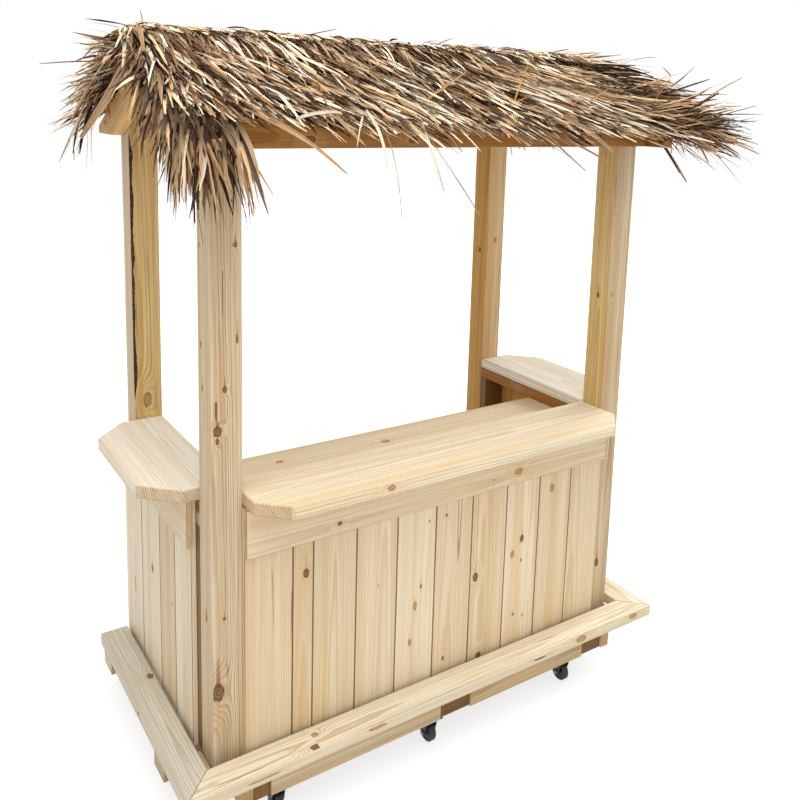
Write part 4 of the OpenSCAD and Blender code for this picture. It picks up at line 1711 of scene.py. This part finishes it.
    def slope_bed(self, slope: Slope, first: float, last: float, rows: int, seed: int) -> Blades:
        """Lays rows of blades on a slope.

        Args:
            slope: Which slope.
            first: Distance of the highest row from the ridge.
            last: Distance of the lowest row from the ridge.
            rows: Number of rows.
            seed: Seed of the random numbers.

        Returns:
            The blades.
        """
        draws = np.random.default_rng(seed)
        count = rows * self.per_row
        line = np.repeat(np.linspace(first, last, rows), self.per_row)
        x = draws.uniform(self.left, self.right, count)
        y = np.clip(line + draws.normal(0.0, 0.014, count), 0.004, self.edge(x) - 0.06)
        lift = draws.uniform(0.0, 0.034, count) * np.clip(y / 0.08, 0.35, 1.0)
        yaw = self.fan(x) + draws.normal(0.0, 0.2, count)
        tilt = draws.normal(0.06, 0.055, count)
        out = self.out(slope.value)
        aim = unit(self.downward(yaw, slope.value) * np.cos(tilt)[:, None]
                   + out * np.sin(tilt)[:, None])
        root = columns(x, slope.value * y, self.height(y, lift))
        full = draws.uniform(0.09, 0.22, count)
        loose = np.where(draws.random(count) < 0.2, draws.uniform(0.02, 0.085, count), 0.0)
        end = self.edge(x + 0.1 * np.sin(yaw)) + draws.normal(0.0, 0.016, count) + loose
        room = (end - y) / np.maximum(np.cos(yaw) * math.cos(self.pitch), 0.25)
        length = np.clip(np.minimum(full, room), 0.05, None)
        over = np.clip((y + length * np.cos(yaw) - self.eave) / 0.12, 0.0, 1.0)
        return Blades(root, aim, out, length, draws.uniform(0.004, 0.01, count),
                      0.02 + 0.08 * over, self.tints(draws, count), draws.uniform(0.0, 0.86, count))

    def ridge_bed(self, count: int, seed: int) -> Blades:
        """Lays short blades over the ridge, to both sides.

        Args:
            count: How many.
            seed: Seed of the random numbers.

        Returns:
            The blades.
        """
        draws = np.random.default_rng(seed)
        x = draws.uniform(self.left, self.right, count)
        sign = np.where(draws.random(count) < 0.5, -1.0, 1.0)
        yaw = self.fan(x) + draws.normal(0.0, 0.25, count)
        aim = unit(columns(np.sin(yaw), sign * np.cos(yaw), -draws.normal(0.2, 0.08, count)))
        root = columns(x, -sign * draws.uniform(-0.01, 0.018, count),
                       self.ridge + self.under + draws.uniform(0.014, 0.036, count))
        return Blades(root, aim, UP, draws.uniform(0.10, 0.22, count),
                      draws.uniform(0.005, 0.011, count), np.array(0.3),
                      self.tints(draws, count), draws.random(count))

    def tuft_bed(self, count: int, seed: int) -> Blades:
        """Lays short pale tufts along the top of the ridge.

        Args:
            count: How many.
            seed: Seed of the random numbers.

        Returns:
            The blades.
        """
        draws = np.random.default_rng(seed)
        x = draws.uniform(self.left + 0.01, self.right - 0.08, count)
        turn = draws.normal(-0.9, 0.7, count)
        aim = unit(columns(np.cos(turn), np.sin(turn), draws.normal(-0.02, 0.16, count)))
        root = columns(x, draws.uniform(-0.03, 0.012, count),
                       self.ridge + self.under + draws.uniform(0.02, 0.042, count))
        return Blades(root, aim, np.array([0.0, -0.5, 0.8]), draws.uniform(0.035, 0.085, count),
                      draws.uniform(0.004, 0.009, count), np.array(0.2),
                      self.tints(draws, count, 0.6), draws.uniform(0.0, 0.7, count))

    def hanging_bed(self, strip: Strip) -> Blades:
        """Hangs blades from a strip of the roof's edge.

        Args:
            strip: The strip.

        Returns:
            The blades.
        """
        draws = np.random.default_rng(strip.seed)
        count = strip.count
        along = draws.uniform(*strip.y, count)
        share = np.clip(np.abs(along) / 0.5, 0.0, 1.0)
        root = columns(draws.uniform(*strip.x, count), along,
                       self.height(along, draws.uniform(-0.005, 0.03, count)))
        first, last = np.array(strip.lean)
        way = first * (1 - share)[:, None] + last * share[:, None]
        aim = unit(way + draws.normal(0.0, 0.15, (count, 3)))
        up = unit(way * np.array([1.0, 1.0, 0.0]) + np.array([-0.2, -0.1, 0.6])
                  + draws.normal(0.0, 0.25, (count, 3)))
        hang = draws.uniform(*strip.droop, count)
        full = draws.uniform(*strip.length, count) * (1 - strip.grow * (1 - share))
        return Blades(root, aim, up, full / (1 + 0.7 * hang), draws.uniform(*strip.width, count),
                      hang, self.tints(draws, count, strip.dark), draws.uniform(0.1, 0.9, count))

    def fringe_bed(self, count: int, seed: int) -> Blades:
        """Fans stiff blades out past the right gable.

        Args:
            count: How many.
            seed: Seed of the random numbers.

        Returns:
            The blades.
        """
        draws = np.random.default_rng(seed)
        y = draws.uniform(-self.eave, self.eave, count)
        x = draws.uniform(0.7, self.right + 0.02, count)
        sign = np.where(y < 0, -1.0, 1.0)
        yaw = np.radians(draws.normal(68, 13, count))
        wild = 0.09 + 0.2 * np.clip((np.abs(y) - 0.2) / 0.3, 0.0, 1.0)
        aim = (self.downward(yaw, sign)
               + UP * (draws.normal(0.02, 1.0, count) * wild)[:, None])
        root = columns(x, y, self.height(y, draws.uniform(0.0, 0.045, count)))
        # The fringe takes a heavy weight of dark tints: painted shade at the right gable.
        return Blades(root, unit(aim), self.out(sign), draws.uniform(0.14, 0.31, count),
                      draws.uniform(0.004, 0.0105, count), draws.uniform(0.0, 0.06, count),
                      self.tints(draws, count, 2.1), draws.uniform(0.0, 0.66, count))

    def stalk_bed(self, count: int, seed: int) -> Blades:
        """Lays the stiff brown stalks that stick out of the leaves.

        Args:
            count: How many more are scattered.
            seed: Seed of the random numbers.

        Returns:
            The stalks.
        """
        draws = np.random.default_rng(seed)
        x = draws.uniform(self.left + 0.2, self.right, count)
        y = draws.uniform(-0.45, 0.5, count)
        root = columns(x, y, self.height(y, draws.uniform(0.025, 0.04, count)))
        aim = unit(columns(draws.uniform(0.3, 1.0, count), draws.normal(0.0, 0.5, count),
                           draws.uniform(0.0, 0.4, count)))
        first = np.array([row[0] for row in self.sticks])
        run = np.array([row[1] for row in self.sticks]) - first
        reach = np.linalg.norm(run, axis=1)
        total = count + len(reach)
        return Blades(np.concatenate([root, first]), np.concatenate([aim, unit(run)]),
                      unit(np.array([0.0, -0.3, 1.0])),
                      np.concatenate([draws.uniform(0.06, 0.16, count), reach]),
                      draws.uniform(0.004, 0.008, total), np.array(0.0),
                      draws.uniform(0.2, 0.9, total), draws.random(total))

    def stray_bed(self) -> Blades:
        """Hangs the loose leaves that show below the front eave and at the left gable.

        Returns:
            The blades.
        """
        root, tip, width, tint, droop, seed = (np.array(part) for part in zip(*self.strays))
        length = np.linalg.norm(tip - root, axis=1)
        aim = (tip - root) / length[:, None] + UP * droop[:, None]
        return Blades(root, aim, np.array([-0.2, -0.8, 0.5]), length, width, droop, tint, seed)

    def mat(self, slope: Slope, seed: int) -> Mesh:
        """Weaves the dark sheet of old leaves that the blades lie on, kept nearly black: painted shade
        in the gaps between blades.

        Args:
            slope: Which slope.
            seed: Seed of the random numbers.

        Returns:
            A closed, uneven sheet.
        """
        draws = np.random.default_rng(seed)
        across, down = self.mat_grid
        xs = np.linspace(self.left + 0.01, self.right - 0.02, across)
        x, share = np.meshgrid(xs, np.linspace(0.0, 1.0, down), indexing="ij")
        y = share * (self.edge(x) - 0.05)
        x = x + draws.normal(0.0, 0.004, x.shape)
        y = y + np.where(share > 0.95, draws.normal(0.0, 0.012, y.shape), 0.0)
        thick = 0.005 + draws.random(x.shape) * 0.007
        base = self.height(y, 0.001)
        verts = np.concatenate([columns(x, slope.value * y, base + thick).reshape(-1, 3),
                                columns(x, slope.value * y, base).reshape(-1, 3)])
        points = len(verts)
        number = np.arange(points // 2).reshape(across, down)
        top = np.stack([number[:-1, :-1], number[1:, :-1], number[1:, 1:], number[:-1, 1:]], axis=-1)
        top = top.reshape(-1, 4)
        ring = np.concatenate([number[:, 0], number[-1, 1:], number[-2::-1, -1], number[0, -2:0:-1]])
        after = np.roll(ring, -1)
        wall = columns(after, ring, ring + points // 2, after + points // 2)
        faces = np.concatenate([top, top[:, ::-1] + points // 2, wall])
        if slope is Slope.FRONT:
            faces = faces[:, ::-1]
        mesh = new_mesh(f"{slope.name.lower()}_leaf_shade_mat", verts.tolist(), faces.tolist())
        # Only the darkest tints: painted shade in the gaps between blades.
        write_rows(mesh, "leaf", columns(draws.uniform(0.0, 0.2, points), draws.random(points) * 8,
                                         draws.uniform(-0.5, 0.5, points)))
        write_rows(mesh, "leaf_seed", draws.random(points) * 0.6)
        return mesh

    def lay(self, bed: LeafBed, *nodes: str, finish: LeafFinish = DRY_LEAF) -> Piece:
        """Lays a bed of blades in the scene as one piece."""
        return keep_piece(new_object(bed.mesh(), finish.material()), Slot.THATCH, *nodes)

    def build(self) -> list[Piece]:
        """Builds the whole leaf roof.

        Returns:
            Its pieces.
        """
        made = []
        for slope, seed in ((Slope.FRONT, 100), (Slope.REAR, 200)):
            word = slope.name.lower()
            mat = new_object(self.mat(slope, seed), DRY_LEAF.material())
            made.append(keep_piece(mat, Slot.THATCH))
            lower = self.slope_bed(slope, 0.24, 0.47, 7, seed + 1)
            made.append(self.lay(LeafBed(f"{word}_thatch_leaves", lower, seed + 2), f"{word}_thatch"))
            upper = self.slope_bed(slope, 0.02, 0.23, 6, seed + 3)
            made.append(self.lay(LeafBed(f"{word}_top_leaves", upper, seed + 4, start=0.2),
                                 f"{word}_top_thatch"))
        ridge = joined(self.ridge_bed(1500, 301), self.tuft_bed(900, 314))
        made.append(self.lay(LeafBed("ridge_leaves", ridge, 302, start=0.6), "ridge_thatch"))
        curtain = joined(*(self.hanging_bed(strip) for strip in self.left_strips))
        made.append(self.lay(LeafBed("left_curtain_leaves", curtain, 305, tip=(0.02, 0.3)),
                             "left_thatch_curtain"))
        fringe = joined(self.hanging_bed(self.right_strip), self.fringe_bed(1500, 307))
        made.append(self.lay(LeafBed("right_curtain_leaves", fringe, 308, fold=0.2, sway=0.012),
                             "right_thatch_curtain"))
        made.append(self.lay(LeafBed("leaf_stalks", self.stalk_bed(26, 309), 310, fold=0.9,
                                     start=0.5, sway=0.008), finish=LEAF_STALK))
        made.append(self.lay(LeafBed("stray_leaves", self.stray_bed(), 311, steps=9, start=0.3)))
        return made


@dataclass
class Casters:
    """Six fixed casters: forks, wheels and the nuts on their axles."""

    nut_across: float = 0.013
    nut_thick: float = 0.006
    nut_easing: float = 0.0012
    cheek_out: float = 0.0205
    easing: float = 0.0008

    def wheels(self) -> list[str]:
        """Names the wheels' nodes."""
        return [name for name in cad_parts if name.startswith("wheel_")]

    def soften(self, node: str, finish: CasterFinish, angle: float = 35.0) -> None:
        """Gives a caster's own solid its finish and eased edges.

        Args:
            node: The node.
            finish: Its finish.
            angle: Edges sharper than this are eased.
        """
        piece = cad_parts[node]
        piece.data.materials.clear()
        piece.data.materials.append(finish.material())
        weld = piece.modifiers.new("weld", "WELD")
        weld.merge_threshold = 1e-5
        bevel = piece.modifiers.new("eased_edges", "BEVEL")
        bevel.width = self.easing
        bevel.segments = 2
        bevel.limit_method = "ANGLE"
        bevel.angle_limit = math.radians(angle)
        bevel.harden_normals = True
        LOG.info("%s: eased solid", node)

    def nuts(self) -> Piece:
        """Makes the hex nuts, with eased edges, on both ends of every axle.

        Returns:
            The piece.
        """
        work = bmesh.new()
        radius = self.nut_across / 2
        for wheel in self.wheels():
            low, high = (Vector(corner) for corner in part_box(wheel))
            for sign in (-1, 1):
                off = Vector((sign * (self.cheek_out + self.nut_thick / 2), 0, 0))
                turn = Matrix.Translation((low + high) / 2 + off) @ Matrix.Rotation(math.pi / 2, 4, "Y")
                made = bmesh.ops.create_cone(work, cap_ends=True, segments=6, matrix=turn,
                                             radius1=radius, radius2=radius, depth=self.nut_thick)
                edges = {edge for vert in made["verts"] for edge in vert.link_edges}
                bmesh.ops.bevel(work, geom=list(edges), offset=self.nut_easing, segments=2,
                                affect="EDGES", clamp_overlap=True)
        mesh = bpy.data.meshes.new("axle_nuts")
        work.to_mesh(mesh)
        work.free()
        return keep_piece(new_object(mesh, ZINC_STEEL.material()), Slot.FORK)

    def build(self) -> list[Piece]:
        """Finishes forks and wheels and adds the nuts.

        Returns:
            The new pieces.
        """
        self.soften("caster_forks", BLACK_STEEL)
        for wheel in self.wheels():
            self.soften(wheel, BLACK_RUBBER, 25.0)
        return [self.nuts()]


@dataclass
class Studio:
    """A pale floor, soft light and a camera where the bar was seen from."""

    eye: Point = (-1.5282, -2.4071, 2.0068)
    yaw: float = math.radians(33.409)
    pitch: float = math.radians(-9.278)
    roll: float = math.radians(1.553)
    lens: float = 38.74
    shift_y: float = -0.194
    floor_half: float = 14.0
    shade: Pair = (0.78, 0.27)
    ambient: float = 0.58
    lamps: tuple[tuple[str, Point, Point, float, float], ...] = (
        ("sky_lamp", (-0.9, -1.2, 5.6), (0.0, 0.0, 0.9), 4.5, 264.0),
        ("front_lamp", (-2.6, -5.2, 3.0), (0.0, -0.2, 0.9), 3.0, 50.0),
        ("side_lamp", (4.6, 0.4, 3.2), (0.8, 0.0, 1.0), 2.6, 180.0),
        ("left_lamp", (-4.8, 0.8, 2.8), (-0.8, 0.0, 0.9), 2.6, 18.0))

    def camera(self) -> None:
        """Sets up the camera."""
        ahead = Vector((math.sin(self.yaw) * math.cos(self.pitch),
                        math.cos(self.yaw) * math.cos(self.pitch), math.sin(self.pitch)))
        level = ahead.cross(Vector((0, 0, 1))).normalized()
        upright = level.cross(ahead)
        right = level * math.cos(self.roll) + upright * math.sin(self.roll)
        top = upright * math.cos(self.roll) - level * math.sin(self.roll)
        data = bpy.data.cameras.new("photo_camera")
        data.lens = self.lens
        data.sensor_width = 36.0
        data.sensor_fit = "HORIZONTAL"
        data.shift_y = self.shift_y
        data.clip_end = 60.0
        camera = bpy.data.objects.new("photo_camera", data)
        turn = Matrix((right, top, -ahead)).transposed().to_4x4()
        camera.matrix_world = Matrix.Translation(Vector(self.eye)) @ turn
        bpy.context.scene.collection.objects.link(camera)
        bpy.context.scene.camera = camera

    def light(self) -> None:
        """Hangs the soft lamps: name, place, aim, side of the square face, and power."""
        for name, at, aim, size, watts in self.lamps:
            data = bpy.data.lights.new(name, "AREA")
            data.size = size
            data.energy = watts
            lamp = bpy.data.objects.new(name, data)
            lamp.location = at
            lamp.rotation_euler = (Vector(aim) - Vector(at)).to_track_quat("-Z", "Y").to_euler()
            bpy.context.scene.collection.objects.link(lamp)

    def seen_white(self, sheet: Sheet) -> Socket:
        """Gives 1 for rays that show the background itself, and 0 for rays that light.

        Args:
            sheet: Where to write the nodes.

        Returns:
            The socket with the mask.
        """
        path = sheet.add("ShaderNodeLightPath").outputs
        shiny = sheet.math("MAXIMUM", path["Is Glossy Ray"], path["Is Transmission Ray"])
        return sheet.math("MAXIMUM", path["Is Camera Ray"], shiny)

    def world(self) -> None:
        """Fills the scene with even light in front of white."""
        world = bpy.data.worlds.new("white_studio")
        world.use_nodes = True
        bpy.context.scene.world = world
        sheet = Sheet(world.node_tree)
        back = world.node_tree.nodes["Background"]
        back.inputs["Color"].default_value = (1.0, 1.0, 1.0, 1.0)
        strength = sheet.node("ShaderNodeMapRange", self.seen_white(sheet), 0.0, 1.0, self.ambient, 1.0)
        sheet.feed(back.inputs["Strength"], strength)

    def floor(self) -> None:
        """Lays the pale floor, which shows the bar's shadow on white, with a painted shadow under the
        bar where its glow is taken away.
        """
        half = self.floor_half
        mesh = new_mesh("studio_floor", [(-half, -half, 0), (half, -half, 0), (half, half, 0),
                                         (-half, half, 0)], [(0, 1, 2, 3)])
        material, sheet, shader = new_material("floor_white")
        shader.inputs["Base Color"].default_value = paint((236, 235, 233))
        shader.inputs["Roughness"].default_value = 0.9
        glow = sheet.add("ShaderNodeEmission")
        place = sheet.add("ShaderNodeNewGeometry").outputs["Position"]
        rise = sheet.math("MULTIPLY_ADD", sheet.span(sheet.length(place), 0.9, 3.6), 0.65, 1.2)
        # Inside a box under the bar the glow is taken away: a painted shadow over the real one.
        aside, ahead = (sheet.minus(sheet.math("ABSOLUTE", part), reach)
                        for part, reach in zip(sheet.split(place), self.shade))
        clear = sheet.span(sheet.math("MAXIMUM", aside, ahead), -0.07, 0.03)
        sheet.feed(glow.inputs["Strength"], sheet.times(rise, clear))
        blend = sheet.node("ShaderNodeMixShader", sheet.times(self.seen_white(sheet), 0.6),
                           shader.outputs[0], glow.outputs[0])
        sheet.feed(material.node_tree.nodes["Material Output"].inputs["Surface"], blend)
        new_object(mesh, material)

    def build(self) -> None:
        """Sets up camera, light and floor."""
        bpy.context.scene.view_settings.view_transform = "Standard"
        self.camera()
        self.world()
        self.floor()
        self.light()


def main() -> None:
    """Builds the whole bar and its studio."""
    logging.basicConfig(level=logging.INFO, format="%(name)s %(message)s")
    Studio().build()
    for part in (Posts(), Counters(), Walls(), Base(), RoofFrame(), Thatch(), Casters()):
        pieces = part.build()
        LOG.info("%s: %d pieces", type(part).__name__, len(pieces))


if __name__ == "__main__":
    main()
